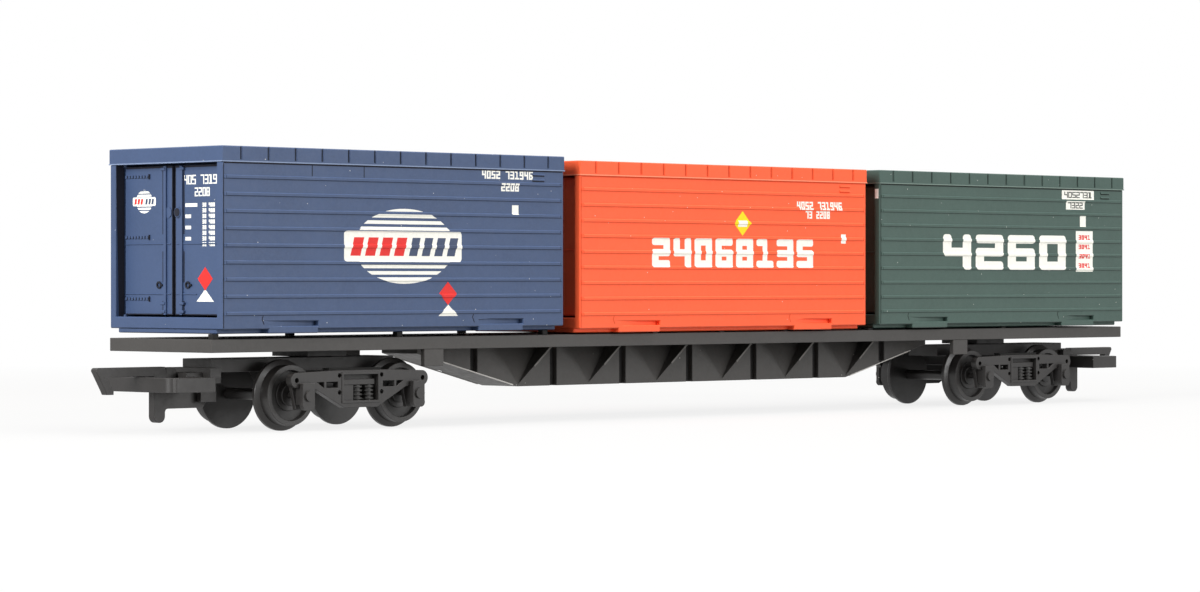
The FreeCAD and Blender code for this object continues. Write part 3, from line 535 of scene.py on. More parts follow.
class Moulding:
    """A mesh under work, in millimetres, in the wagon's frame."""

    def __init__(self) -> None:
        """Starts an empty mesh."""
        self.mesh = bmesh.new()

    @classmethod
    def copied(cls, node: str) -> "Moulding":
        """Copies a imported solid, with its loose triangles merged into flat faces.

        Args:
            node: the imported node's name.

        Returns:
            The copy.
        """
        work = cls()
        work.mesh.from_mesh(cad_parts[node].data)
        work.scaled(1 / MM)
        bmesh.ops.remove_doubles(work.mesh, verts=work.mesh.verts[:], dist=MERGE_ROOM)
        bmesh.ops.dissolve_limit(work.mesh, angle_limit=FLAT_ANGLE, verts=work.mesh.verts[:],
                                 edges=work.mesh.edges[:], use_dissolve_boundaries=False)
        return work

    def scaled(self, factor: float) -> None:
        """Scales the whole mesh about the origin."""
        bmesh.ops.scale(self.mesh, vec=(factor,) * 3, verts=self.mesh.verts[:])

    def widen(self, beyond: float, by: float) -> None:
        """Moves the corners that are past a distance from the wagon's middle plane.

        Args:
            beyond: the distance.
            by: how far they move outwards, below 0 for inwards.
        """
        for side in Side:
            outer = [vertex for vertex in self.mesh.verts if vertex.co.y * side.value > beyond]
            bmesh.ops.translate(self.mesh, vec=(0, side.value * by, 0), verts=outer)

    def soften(self, width: float, edges: Optional[Iterable[bmesh.types.BMEdge]] = None) -> None:
        """Bevels the sharp outer edges.

        Args:
            width: the bevel's width.
            edges: the edges that may be bevelled, or None for all.
        """
        if edges is None:
            broad = [face for face in self.mesh.faces if len(face.verts) > BROAD_FACE]
            bmesh.ops.triangulate(self.mesh, faces=broad, quad_method="BEAUTY", ngon_method="BEAUTY")
        among = self.mesh.edges if edges is None else edges
        sharp = [edge for edge in among if edge.is_manifold and edge.is_convex
                 and edge.calc_length() > SHORTEST_EDGE * width
                 and edge.calc_face_angle(0.0) > SHARP_ANGLE]
        bmesh.ops.bevel(self.mesh, geom=sharp, offset=width, offset_type="OFFSET", affect="EDGES",
                        segments=1, profile=0.5, material=-1, clamp_overlap=False)

    def _placed(self, corners: list[bmesh.types.BMVert], turn: Matrix, centre: Point) -> None:
        """Turns new corners about the origin and takes them to their place."""
        bmesh.ops.transform(self.mesh, matrix=Matrix.Translation(centre) @ turn, verts=corners)

    def _spun(self, made: list[bmesh.types.BMVert], centre: Point, along: Point, steps: int) -> None:
        """Spins new corners and their edges about the upright axis, then takes them to their place.

        Args:
            made: the new corners.
            centre: where the axis goes.
            along: the direction that the axis gets.
            steps: facets round it.
        """
        before = set(self.mesh.verts) - set(made)
        edges = list({edge for vertex in made for edge in vertex.link_edges})
        bmesh.ops.spin(self.mesh, geom=made + edges, cent=(0, 0, 0), axis=UPRIGHT,
                       angle=math.tau, steps=steps, use_merge=True)
        fresh = [vertex for vertex in self.mesh.verts if vertex not in before]
        bmesh.ops.remove_doubles(self.mesh, verts=fresh, dist=MERGE_ROOM)
        fresh = [vertex for vertex in self.mesh.verts if vertex not in before]
        self._placed(fresh, upright_to(along), centre)

    def block(self, centre: Point, size: Point, soft: float = 0.0,
              turn: Matrix = Matrix.Identity(4)) -> None:
        """Adds a block.

        Args:
            centre: its middle.
            size: its size before it is turned.
            soft: the bevel on its edges, or 0.
            turn: how it is turned about its middle.
        """
        corners = bmesh.ops.create_cube(self.mesh, size=1.0)["verts"]
        bmesh.ops.scale(self.mesh, vec=size, verts=corners)
        self._placed(corners, turn, centre)
        if soft:
            self.soften(soft, {edge for corner in corners for edge in corner.link_edges})

    def rod(self, centre: Point, along: Point, diameter: float, length: float) -> None:
        """Adds a round rod.

        Args:
            centre: its middle.
            along: the direction of its axis.
            diameter: its diameter.
            length: its length.
        """
        corners = bmesh.ops.create_cone(self.mesh, cap_ends=True, segments=ROD_STEPS,
                                        radius1=diameter / 2, radius2=diameter / 2,
                                        depth=length)["verts"]
        self._placed(corners, upright_to(along), centre)

    def turned(self, profile: Sequence[Flat], centre: Point, along: Point) -> None:
        """Spins a profile into a round shape.

        Args:
            profile: points as (distance along the axis, radius), from end to end.
            centre: where the axis starts.
            along: the direction of the axis.
        """
        line = [self.mesh.verts.new((radius, 0, height)) for height, radius in profile]
        for pair in zip(line, line[1:]):
            self.mesh.edges.new(pair)
        self._spun(line, centre, along, TURNED_STEPS)

    def ring(self, centre: Point, along: Point, diameter: float, bar: float) -> None:
        """Adds a ring of round bar.

        Args:
            centre: its middle.
            along: the direction of its axis.
            diameter: between the bar's centres.
            bar: the bar's diameter.
        """
        made = bmesh.ops.create_circle(self.mesh, cap_ends=False, segments=RING_BAR_STEPS,
                                       radius=bar / 2)["verts"]
        self._placed(made, Matrix.Rotation(math.pi / 2, 4, "X"), (diameter / 2, 0, 0))
        self._spun(made, centre, along, RING_STEPS)

    def prism(self, outline: Sequence[Point], push: Point, soft: float = 0.0) -> None:
        """Adds a flat outline pushed into a solid.

        Args:
            outline: its corners in order.
            push: how far and in which direction the outline is pushed.
            soft: the bevel on its edges, or 0.
        """
        corners = [self.mesh.verts.new(corner) for corner in outline]
        face = self.mesh.faces.new(corners)
        pushed = bmesh.ops.extrude_face_region(self.mesh, geom=[face], use_keep_orig=True)["geom"]
        moved = [item for item in pushed if isinstance(item, bmesh.types.BMVert)]
        bmesh.ops.translate(self.mesh, vec=push, verts=moved)
        if soft:
            self.soften(soft, {edge for corner in corners + moved for edge in corner.link_edges})

    def piece(self, name: str, finish: Finish, body: str, replaced: Sequence[str] = (),
              built: bool = True) -> None:
        """Hands the mesh over as a piece of the wagon.

        Args:
            name: the piece's name.
            finish: what it is made of.
            body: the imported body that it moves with.
            replaced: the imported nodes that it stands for.
            built: whether its shapes were made here, so that their faces are turned outwards.
        """
        if built:
            bmesh.ops.recalc_face_normals(self.mesh, faces=self.mesh.faces[:])
        for face in self.mesh.faces:
            face.smooth = True
        for edge in self.mesh.edges:
            edge.smooth = edge.is_manifold and edge.calc_face_angle(0.0) < SMOOTH_ANGLE
        self.scaled(MM)
        shape = meshed(name, self.mesh, dressed(finish))
        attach(shape, body)
        if replaced:
            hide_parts(*replaced)
        LOG.info("%s: %d faces on %s", name, len(shape.data.polygons), body)


def rebuild(node: str, finish: Finish, body: str, soft: float, ending: str = "moulding") -> None:
    """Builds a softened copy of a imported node.

    Args:
        node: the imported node's name, which the piece's name starts with.
        finish: what it is made of.
        body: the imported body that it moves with.
        soft: the bevel on its edges.
        ending: the end of the piece's name.
    """
    shape = Moulding.copied(node)
    shape.soften(soft)
    shape.piece(f"{node}_{ending}", finish, body, [node], built=False)


def low_and_high(node: str) -> tuple[Vector, Vector]:
    """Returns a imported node's lowest and highest corners in millimetres."""
    low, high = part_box(node)
    return low / MM, high / MM


@dataclass(frozen=True)
class Face:
    """A flat face of a container that takes prints, with the level ribs that cross it."""

    facing: Facing
    origin: Point
    ribs: tuple[float, ...] = ()
    rib_height: float = 0.7
    rib_depth: float = 0.2
    rib_soft: float = 0.15
    foot_room: float = 0.03
    brim_room: float = 0.015

    def steps(self) -> list[Flat]:
        """Returns the heights at which the face's relief bends, with its depth at each."""
        half = self.rib_height / 2
        rising = [(-half - self.foot_room, 0.0),
                  (-half - self.brim_room, self.rib_depth - self.rib_soft),
                  (self.rib_soft - half, self.rib_depth)]
        falling = [(-away, depth) for away, depth in reversed(rising)]
        return [(rib + away, depth) for rib in self.ribs for away, depth in rising + falling]

    def relief(self, height: float) -> float:
        """Works out how far the face stands out.

        Args:
            height: the height above the face's lower edge.

        Returns:
            The relief at that height.
        """
        bends = self.steps()
        for (low, first), (high, second) in zip(bends, bends[1:]):
            if low <= height <= high:
                return first + (second - first) * (height - low) / (high - low)
        return 0.0

    def place(self) -> Matrix:
        """Returns the matrix from the flat sheet, seen from in front, to the face."""
        return (Matrix.Translation(self.origin)
                @ Matrix.Rotation(math.radians(self.facing.value), 4, "Z"))


class PrintedSheet:
    """Marks in one ink, drawn flat as (across, up) and then laid onto a face."""

    def __init__(self) -> None:
        """Starts an empty sheet."""
        self.work = Moulding()

    @property
    def mesh(self) -> bmesh.types.BMesh:
        """The sheet's mesh."""
        return self.work.mesh

    def polygon(self, centre: Flat, size: Flat, sides: int) -> None:
        """Draws a regular polygon fitted to a size.

        Args:
            centre: its middle.
            size: across and up.
            sides: how many sides it has.
        """
        made = bmesh.ops.create_circle(self.mesh, cap_ends=True, segments=sides, radius=1.0)["verts"]
        lows = [min(vertex.co[axis] for vertex in made) for axis in range(2)]
        highs = [max(vertex.co[axis] for vertex in made) for axis in range(2)]
        middle = Vector(((lows[0] + highs[0]) / 2, (lows[1] + highs[1]) / 2, 0))
        scale = (size[0] / (highs[0] - lows[0]), size[1] / (highs[1] - lows[1]), 1)
        bmesh.ops.translate(self.mesh, vec=-middle, verts=made)
        bmesh.ops.scale(self.mesh, vec=scale, verts=made)
        bmesh.ops.translate(self.mesh, vec=(*centre, 0), verts=made)

    def bar(self, centre: Flat, size: Flat, slant: float = 0.0, rounded: float = 0.0) -> None:
        """Draws a bar.

        Args:
            centre: its middle.
            size: across and up.
            slant: how far its top leans over.
            rounded: the radius of its corners.
        """
        made = bmesh.ops.create_grid(self.mesh, x_segments=1, y_segments=1, size=0.5)["verts"]
        bmesh.ops.scale(self.mesh, vec=(*size, 1), verts=made)
        lean = Matrix.Identity(4)
        lean[0][1] = slant / size[1]
        bmesh.ops.transform(self.mesh, matrix=Matrix.Translation((*centre, 0)) @ lean, verts=made)
        if rounded:
            self._round(made, rounded, BAR_CORNER_STEPS)

    def bars(self, centre: Flat, size: Flat, count: int, pitch: float, slant: float) -> None:
        """Draws a row of leaning bars.

        Args:
            centre: the first bar's middle.
            size: across and up.
            count: how many bars there are.
            pitch: from one bar to the next.
            slant: how far their tops lean over.
        """
        for place in range(count):
            self.bar((centre[0] + pitch * place, centre[1]), size, slant)

    def _round(self, corners: list[bmesh.types.BMVert], radius: float, steps: int) -> None:
        """Rounds corners to a radius in a number of steps."""
        bmesh.ops.bevel(self.mesh, geom=corners, offset=radius, offset_type="OFFSET",
                        affect="VERTICES", segments=steps, profile=0.5, material=-1)

    def louvred_oval(self, centre: Flat, size: Flat, pitch: float, share: float) -> None:
        """Draws an oval cut into level stripes.

        Args:
            centre: its middle.
            size: across and up.
            pitch: from one stripe to the next.
            share: how much of the pitch is stripe.
        """
        self.polygon(centre, size, OVAL_STEPS)
        count = int(size[1] / pitch)
        first = centre[1] - count * pitch / 2
        gaps = [(first + i * pitch - pitch * (1 - share), first + i * pitch)
                for i in range(1, count + 1)]
        for gap in gaps:
            for height in gap:
                self._cut(height)
        doomed = [face for face in self.mesh.faces
                  if any(low < face.calc_center_bounds().y < high for low, high in gaps)
                  and abs(face.calc_center_bounds().y - centre[1]) < size[1] / 2]
        bmesh.ops.delete(self.mesh, geom=doomed, context="FACES")

    def digits(self, text: str, centre: Flat, size: Flat, stroke: Flat, rounded: float = 0.0) -> None:
        """Draws plain block numbers.

        Args:
            text: the digits, with spaces between groups.
            centre: their middle.
            size: across and up.
            stroke: the width of the upright strokes and the height of the level ones.
            rounded: the radius of the outer corners.
        """
        gap = DIGIT_GAP * stroke[0]
        wide = (size[0] - gap * (len(text) - 1)) / len(text)
        left = centre[0] - size[0] / 2
        low = centre[1] - size[1] / 2
        columns = (0.0, stroke[0], wide - stroke[0], wide)
        rows = (0.0, stroke[1], (size[1] - stroke[1]) / 2, (size[1] + stroke[1]) / 2,
                size[1] - stroke[1], size[1])
        for place, digit in enumerate(text):
            if digit == " ":
                continue
            start = left + place * (wide + gap)
            made = bmesh.ops.create_grid(self.mesh, x_segments=3, y_segments=5, size=0.5)["verts"]
            for vertex in made:
                column, row = round((vertex.co.x + 0.5) * 3), round((vertex.co.y + 0.5) * 5)
                vertex.co = Vector((start + columns[column], low + rows[row], 0))
            cells = sorted({face for vertex in made for face in vertex.link_faces},
                           key=lambda face: (-round(face.calc_center_bounds().y, 3),
                                             face.calc_center_bounds().x))
            empty = [face for face, mark in zip(cells, DIGIT_CELLS[int(digit)]) if mark == "0"]
            bmesh.ops.delete(self.mesh, geom=empty, context="FACES")
            if rounded:
                self._round([vertex for vertex in made if vertex.is_valid
                             and len(vertex.link_faces) == 1], rounded, DIGIT_CORNER_STEPS)

    def _cut(self, height: float) -> None:
        """Cuts the whole sheet along a level line."""
        geometry = self.mesh.verts[:] + self.mesh.edges[:] + self.mesh.faces[:]
        bmesh.ops.bisect_plane(self.mesh, geom=geometry, dist=CUT_ROOM,
                               plane_co=(0, height, 0), plane_no=(0, 1, 0))

    def laid(self, name: str, face: Face, ink: PrintedInk, body: str, layer: int = 0) -> None:
        """Lays the sheet onto a face, over its ribs, as a film of ink.

        Args:
            name: the piece's name.
            face: the face that it is printed on.
            ink: the ink.
            body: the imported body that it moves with.
            layer: how many other inks lie under it.
        """
        lift = INK_LIFT + INK_STEP * layer
        for height, _ in face.steps():
            self._cut(height)
        bmesh.ops.recalc_face_normals(self.mesh, faces=self.mesh.faces[:])
        before = set(self.mesh.verts)
        bmesh.ops.extrude_face_region(self.mesh, geom=self.mesh.faces[:], use_keep_orig=True)
        for vertex in self.mesh.verts:
            out = face.relief(vertex.co.y) + lift - (INK_FILM if vertex in before else 0.0)
            vertex.co = Vector((vertex.co.x, -out, vertex.co.y))
        bmesh.ops.transform(self.mesh, matrix=face.place(), verts=self.mesh.verts[:])
        self.work.piece(name, ink, body)


def shade_for(container: str) -> PrintedInk:
    """Returns the dark tone, as painted shade, of a container's joints, gaps and the corners that light
    hardly reaches.
    """
    return PrintedInk(f"{container}_shade", SHADES[container], f"{container}_plastic", SHADE_ROUGHNESS)


def bead_highlight_for(container: str) -> PrintedInk:
    """Returns the painted highlight along the lower edge of a container's roof."""
    return PrintedInk(f"{container}_bead", BEAD_HIGHLIGHTS[container], f"{container}_plastic", BEAD_HIGHLIGHT_ROUGHNESS)


@dataclass
class Door:
    """One door leaf of a container, with its bars and hinges, and painted shade in its gaps, handle and
    latch hollow.

    Heights count from the container's lower edge, places across from the doors' meeting line and
    outs from the leaf's outer face, whose place along the wagon is front. Each of bars is a height
    and a length, and each of rod_spans a low and a high end.
    """

    container: str
    finish: MouldedPlastic
    side: Side
    front: float
    floor: float
    soft: float = 0.06
    thickness: float = 1.2
    low: float = 2.35
    high: float = 27.75
    meeting: float = 0.35
    meeting_rim: float = 0.02
    line_out: float = 0.005
    edge_middle: float = 6.8
    edge_long: float = 12.6
    upper_edge: Flat = (27.57, 0.34)
    lower_edge: Flat = (2.45, 0.18)
    closing_line: Flat = (0.44, 0.16)
    bar_start: float = 0.8
    bars: tuple[Flat, Flat] = ((14.45, 12.4), (5.9, 12.4))
    short_bar: float = 5.4
    bar: Flat = (0.26, 0.2)
    bar_out: float = 0.05
    fitting_soft: float = 0.05
    bracket_place: float = 2.55
    bracket_heights: tuple[float, ...] = (27.2, 4.3, 2.9)
    bracket: Point = (0.5, 1.1, 0.5)
    bracket_out: float = 0.3
    bracket_soft: float = 0.08
    rod_place: float = 2.85
    rod_shift: float = 0.12
    rod_wide: float = 0.26
    rod_spans: tuple[Flat, ...] = ((16.1, 27.4), (7.9, 13.2), (2.6, 4.75))
    handle: Flat = (3.9, 7.45)
    handle_ring: Flat = (1.0, 0.3)
    handle_grip: Point = (0.3, 0.7, 0.3)
    handle_out: float = 0.2
    handle_soft: float = 0.06
    latch: Flat = (1.45, 19.8)
    latch_out: float = 0.52
    latch_cap: Flat = (1.45, 0.08)
    hinge_heights: tuple[float, ...] = (26.0, 15.6, 5.05)
    hinge_teeth: int = 8
    tooth_pitch: float = 0.82
    first_tooth: float = 13.0
    first_gap: float = 12.6
    tooth: Point = (0.26, 0.5, 0.5)
    tooth_out: float = 0.08
    gap: Flat = (0.26, 0.5)
    hinge_end: float = 6.6
    hinge_end_out: float = 0.1
    hinge_end_mark: Point = (0.24, 0.24, 0.9)

    @property
    def node(self) -> str:
        """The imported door's name."""
        return f"{self.container}_{self.side.name.lower()}_door"

    def at(self, out: float, across: float, height: float) -> Point:
        """Returns the place that stands out from the door's face, across and up by given distances."""
        return self.front - out, self.side.value * across, self.floor + height

    def build(self) -> None:
        """Builds the leaf, its fittings and its lines."""
        rebuild(self.node, self.finish, f"{self.node}_leaf", self.soft, "panel")
        self.build_fittings()
        self.build_lines()

    def build_fittings(self) -> None:
        """Builds the hinges' teeth, the level bars and the rods' brackets."""
        work = Moulding()
        if self.side is Side.FAR:
            for height in self.hinge_heights:
                for tooth in range(self.hinge_teeth):
                    place = self.first_tooth - self.tooth_pitch * tooth
                    work.block(self.at(self.tooth_out, place, height), self.tooth, self.fitting_soft)
        for height, reach in self.bars:
            if self.side is Side.NEAR and height < self.handle[1]:
                reach = self.short_bar
            work.block(self.at(self.bar_out, self.bar_start + reach / 2, height),
                       (self.bar[0], reach, self.bar[1]), self.fitting_soft)
        for height in self.bracket_heights:
            work.block(self.at(self.bracket_out, self.bracket_place, height), self.bracket,
                       self.bracket_soft)
        work.piece(f"{self.node}_fittings", self.finish, f"{self.node}_leaf")

    def build_lines(self) -> None:
        """Builds the painted shade: lines in the gaps round the leaf and beside its rods, and the dark
        closing edge, handle and latch hollow.
        """
        lines, sign = Moulding(), self.side.value
        tall, middle = self.high - self.low, (self.high + self.low) / 2
        rim = self.meeting_rim
        lines.block(self.at(-self.thickness / 2, self.meeting - rim / 2, middle),
                    (self.thickness - 2 * rim, LINE_DEPTH, tall - 2 * rim))
        for height, thick in (self.upper_edge, self.lower_edge):
            lines.block(self.at(self.line_out, self.edge_middle, height),
                        (LINE_DEPTH, self.edge_long, thick))
        place, wide = self.closing_line
        lines.block(self.at(self.line_out, place, middle), (LINE_DEPTH, wide, tall))
        for low, high in self.rod_spans:
            lines.block(self.at(self.line_out, self.rod_place + sign * self.rod_shift, (high + low) / 2),
                        (LINE_DEPTH, self.rod_wide, high - low))
        place, height = self.handle
        lines.ring(self.at(self.handle_out, place, height), (1, 0, 0), *self.handle_ring)
        lines.block(self.at(self.handle_out, place - sign * self.handle_grip[1], height),
                    self.handle_grip, self.handle_soft)
        if self.side is Side.FAR:
            self.add_hinge_lines(lines)
        else:
            lines.rod(self.at(self.latch_out, *self.latch), (1, 0, 0), *self.latch_cap)
        lines.piece(f"{self.node}_lines", shade_for(self.container), f"{self.node}_leaf")

    def add_hinge_lines(self, lines: Moulding) -> None:
        """Adds painted shade in the gaps between the hinges' teeth and at each hinge's end.

        Args:
            lines: the mesh that takes them.
        """
        for height in self.hinge_heights:
            lines.block(self.at(self.hinge_end_out, self.hinge_end, height), self.hinge_end_mark)
            for tooth in range(self.hinge_teeth):
                lines.block(self.at(self.line_out, self.first_gap - self.tooth_pitch * tooth, height),
                            (LINE_DEPTH, *self.gap))


@dataclass
class Container:
    """A twenty foot container: its body, its roof and its doors.

    Heights count from the body's lower edge and places from its left end, and a span is a low and
    a high one. Each of pocket_marks is the way that it leans and its height.
    """

    name: str
    finish: MouldedPlastic
    joints: tuple[float, ...] = ()
    wide: float = 80.0
    across: float = 30.4
    base: float = 0.75
    soft: float = 0.15
    post: float = 1.5
    door_set_back: float = 1.9
    rib_first: float = 2.64
    rib_pitch: float = 2.87
    rib_count: int = 9
    rib_end_place: float = 0.62
    rib_end: Point = (0.4, 0.18, 0.62)
    rib_end_soft: float = 0.05
    vent_place: float = 73.6
    vent_heights: tuple[float, ...] = (26.35, 27.3)
    vent_wide: float = 3.0
    vent_out: float = 0.23
    vent_span: Flat = (-0.05, 0.35)
    slot_line: Flat = (0.17, 0.24)
    joint_wide: float = 0.16
    joint_span: Flat = (26.0, 28.0)
    post_joint_place: float = 0.34
    post_joint_span: Flat = (0.2, 27.8)
    roof_joint: Flat = (27.97, 0.26)
    roof_joint_long: float = 79.2
    pockets: tuple[float, ...] = (8.9, 57.5)
    pocket_marks: tuple[Flat, Flat] = ((-1, 2.2), (1, 1.25))
    pocket_mark_long: float = 1.05
    pocket_lean: float = math.radians(25)
    shade_places: Flat = (0.12, 1.88)
    shade_span: Flat = (2.02, 28.08)
    shade_cut: float = 0.6
    shade_room: float = 0.02
    roof_shrink: Flat = (0.9985, 0.996)
    roof_first: float = 4.0
    roof_pitch: float = 6.0
    roof_lines: int = 13
    roof_line_out: float = 0.04
    roof_line_height: float = 29.6
    roof_line: Flat = (0.17, 2.1)
    bead_height: float = 28.21
    bead_places: Flat = (0.155, 15.36)
    bead_lengths: Flat = (80.28, 30.7)
    bead: Flat = (0.07, 0.2)
    left: float = field(init=False)
    floor: float = field(init=False)

    def __post_init__(self) -> None:
        """Takes the container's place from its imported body."""
        low, _ = low_and_high(f"{self.name}_container_body")
        self.left = low.x
        self.floor = low.z + self.base

    @property
    def skin(self) -> float:
        """How far the side panels are from the wagon's middle."""
        return self.across / 2 - SIDE_DRAW

    def ribs(self) -> tuple[float, ...]:
        """Returns the ribs' heights above the body's lower edge."""
        return tuple(self.rib_first + self.rib_pitch * rib for rib in range(self.rib_count))

    def side(self, side: Side) -> Face:
        """Returns a side as a face for prints, measured from its own left end as it is read."""
        if side is Side.NEAR:
            return Face(Facing.NEAR, (self.left, -self.skin, self.floor), self.ribs())
        return Face(Facing.FAR, (self.left + self.wide, self.skin, self.floor), self.ribs())

    def door_face(self) -> Face:
        """Returns the doors' plane as a face for prints, measured from the middle of the end."""
        return Face(Facing.LEFT, (self.left + self.door_set_back, 0.0, self.floor))

    def build(self) -> None:
        """Builds and dresses every piece of the container."""
        self.build_body()
        self.build_roof()
        for side in Side:
            Door(self.name, self.finish, side, self.left + self.door_set_back, self.floor).build()

    def build_body(self) -> None:
        """Builds the body with its vents, and painted shade in its joints, slots and deep corners."""
        node = f"{self.name}_container_body"
        shell = Moulding.copied(node)
        shell.widen(self.skin, -SIDE_DRAW)
        shell.soften(self.soft)
        shell.piece(f"{self.name}_shell", self.finish, "wagon", [node], built=False)
        trim, lines = Moulding(), Moulding()
        for side in Side:
            self.add_vents(trim, lines, side)
            self.add_rib_ends(trim, side)
            self.add_joints(lines, side)
            self.add_pocket_marks(lines, side)
            self.add_post_shade(lines, side)
        trim.piece(f"{self.name}_side_trim", self.finish, "wagon")
        lines.piece(f"{self.name}_joint_lines", shade_for(self.name), "wagon")

    def line(self, work: Moulding, side: Side, across: float, centre: Flat, size: Flat) -> None:
        """Lays a thin flat line on a side.

        Args:
            work: the mesh that takes it.
            side: the side of the container.
            across: how far the surface beneath is from the wagon's middle.
            centre: its middle, along the container and above the body's lower edge.
            size: along and up.
        """
        work.block((self.left + centre[0], side.value * across, self.floor + centre[1]),
                   (size[0], LINE_DEPTH, size[1]))

    def add_vents(self, trim: Moulding, lines: Moulding, side: Side) -> None:
        """Adds the two louvres near the right end of a side, with painted shade in the slots under them.

        Args:
            trim: the mesh that takes shapes in the container's plastic.
            lines: the mesh that takes the lines of painted shade.
            side: the side of the container.
        """
        left, y = self.left + self.vent_place - self.vent_wide / 2, side.value * self.skin
        below, line = self.slot_line
        for height in self.vent_heights:
            foot, top = (self.floor + height + edge for edge in self.vent_span)
            trim.prism([(left, y, top), (left, y, foot), (left, y + side.value * self.vent_out, foot)],
                       (self.vent_wide, 0, 0))
            self.line(lines, side, self.skin, (self.vent_place, height - below), (self.vent_wide, line))

    def add_rib_ends(self, trim: Moulding, side: Side) -> None:
        """Adds the short ends that take every rib up to the container's corners.

        Args:
            trim: the mesh that takes them.
            side: the side of the container.
        """
        y = side.value * (self.skin + self.rib_end[1] / 2)
        for rib in self.ribs():
            for place in (self.rib_end_place, self.wide - self.rib_end_place):
                trim.block((self.left + place, y, self.floor + rib), self.rib_end,
                           self.rib_end_soft)

    def add_joints(self, lines: Moulding, side: Side) -> None:
        """Adds painted shade along the line under the roof, in the short upright joints and beside the
        post.

        Args:
            lines: the mesh that takes the lines of painted shade.
            side: the side of the container.
        """
        height, thick = self.roof_joint
        self.line(lines, side, self.skin, (self.wide / 2, height), (self.roof_joint_long, thick))
        uprights = [(place, self.joint_span) for place in self.joints]
        for place, (low, high) in [*uprights, (self.post_joint_place, self.post_joint_span)]:
            self.line(lines, side, self.skin, (place, (low + high) / 2), (self.joint_wide, high - low))

    def add_pocket_marks(self, lines: Moulding, side: Side) -> None:
        """Adds painted shade as a pointed mark at the left end of each fork pocket.

        Args:
            lines: the mesh that takes the lines of painted shade.
            side: the side of the container.
        """
        for pocket in self.pockets:
            for lean, height in self.pocket_marks:
                lines.block((self.left + pocket, side.value * self.skin, self.floor + height),
                            (self.joint_wide, LINE_DEPTH, self.pocket_mark_long),
                            turn=Matrix.Rotation(-lean * self.pocket_lean, 4, "Y"))

    def add_post_shade(self, lines: Moulding, side: Side) -> None:
        """Paints shade on the inner face of a door post, in the deep corner beside the door.

        Args:
            lines: the mesh that takes the lines of painted shade.
            side: the side of the container.
        """
        y = side.value * (self.across / 2 - self.post + self.shade_room)
        front, back = (self.left + place for place in self.shade_places)
        low, high = (self.floor + height for height in self.shade_span)
        lines.prism([(front, y, high), (back, y, high), (back, y, low),
                     (front + self.shade_cut, y, low)], (0, -side.value * LINE_DEPTH, 0))

    def build_roof(self) -> None:
        """Builds the roof with softened edges, painted shade in its upright grooves and a painted
        highlight along its lower edge.
        """
        node = f"{self.name}_container_roof"
        roof = Moulding.copied(node)
        middle = Matrix.Translation((self.left + self.wide / 2, 0, 0))
        inwards = Matrix.Diagonal((*self.roof_shrink, 1, 1))
        bmesh.ops.transform(roof.mesh, matrix=middle @ inwards @ middle.inverted(),
                            verts=roof.mesh.verts[:])
        roof.soften(self.soft)
        roof.piece(f"{self.name}_roof_shell", self.finish, "wagon", [node], built=False)
        lines, bead = Moulding(), Moulding()
        height, (thick, tall) = self.floor + self.bead_height, self.bead
        (past, out), (long, short) = self.bead_places, self.bead_lengths
        for side in Side:
            for line in range(self.roof_lines):
                self.line(lines, side, self.across / 2 + self.roof_line_out,
                          (self.roof_first + self.roof_pitch * line, self.roof_line_height),
                          self.roof_line)
            bead.block((self.left + self.wide / 2, side.value * out, height), (long, thick, tall))
        for place in (-past, self.wide + past):
            bead.block((self.left + place, 0, height), (thick, short, tall))
        lines.piece(f"{self.name}_roof_lines", shade_for(self.name), "wagon")
        bead.piece(f"{self.name}_roof_bead", bead_highlight_for(self.name), "wagon")


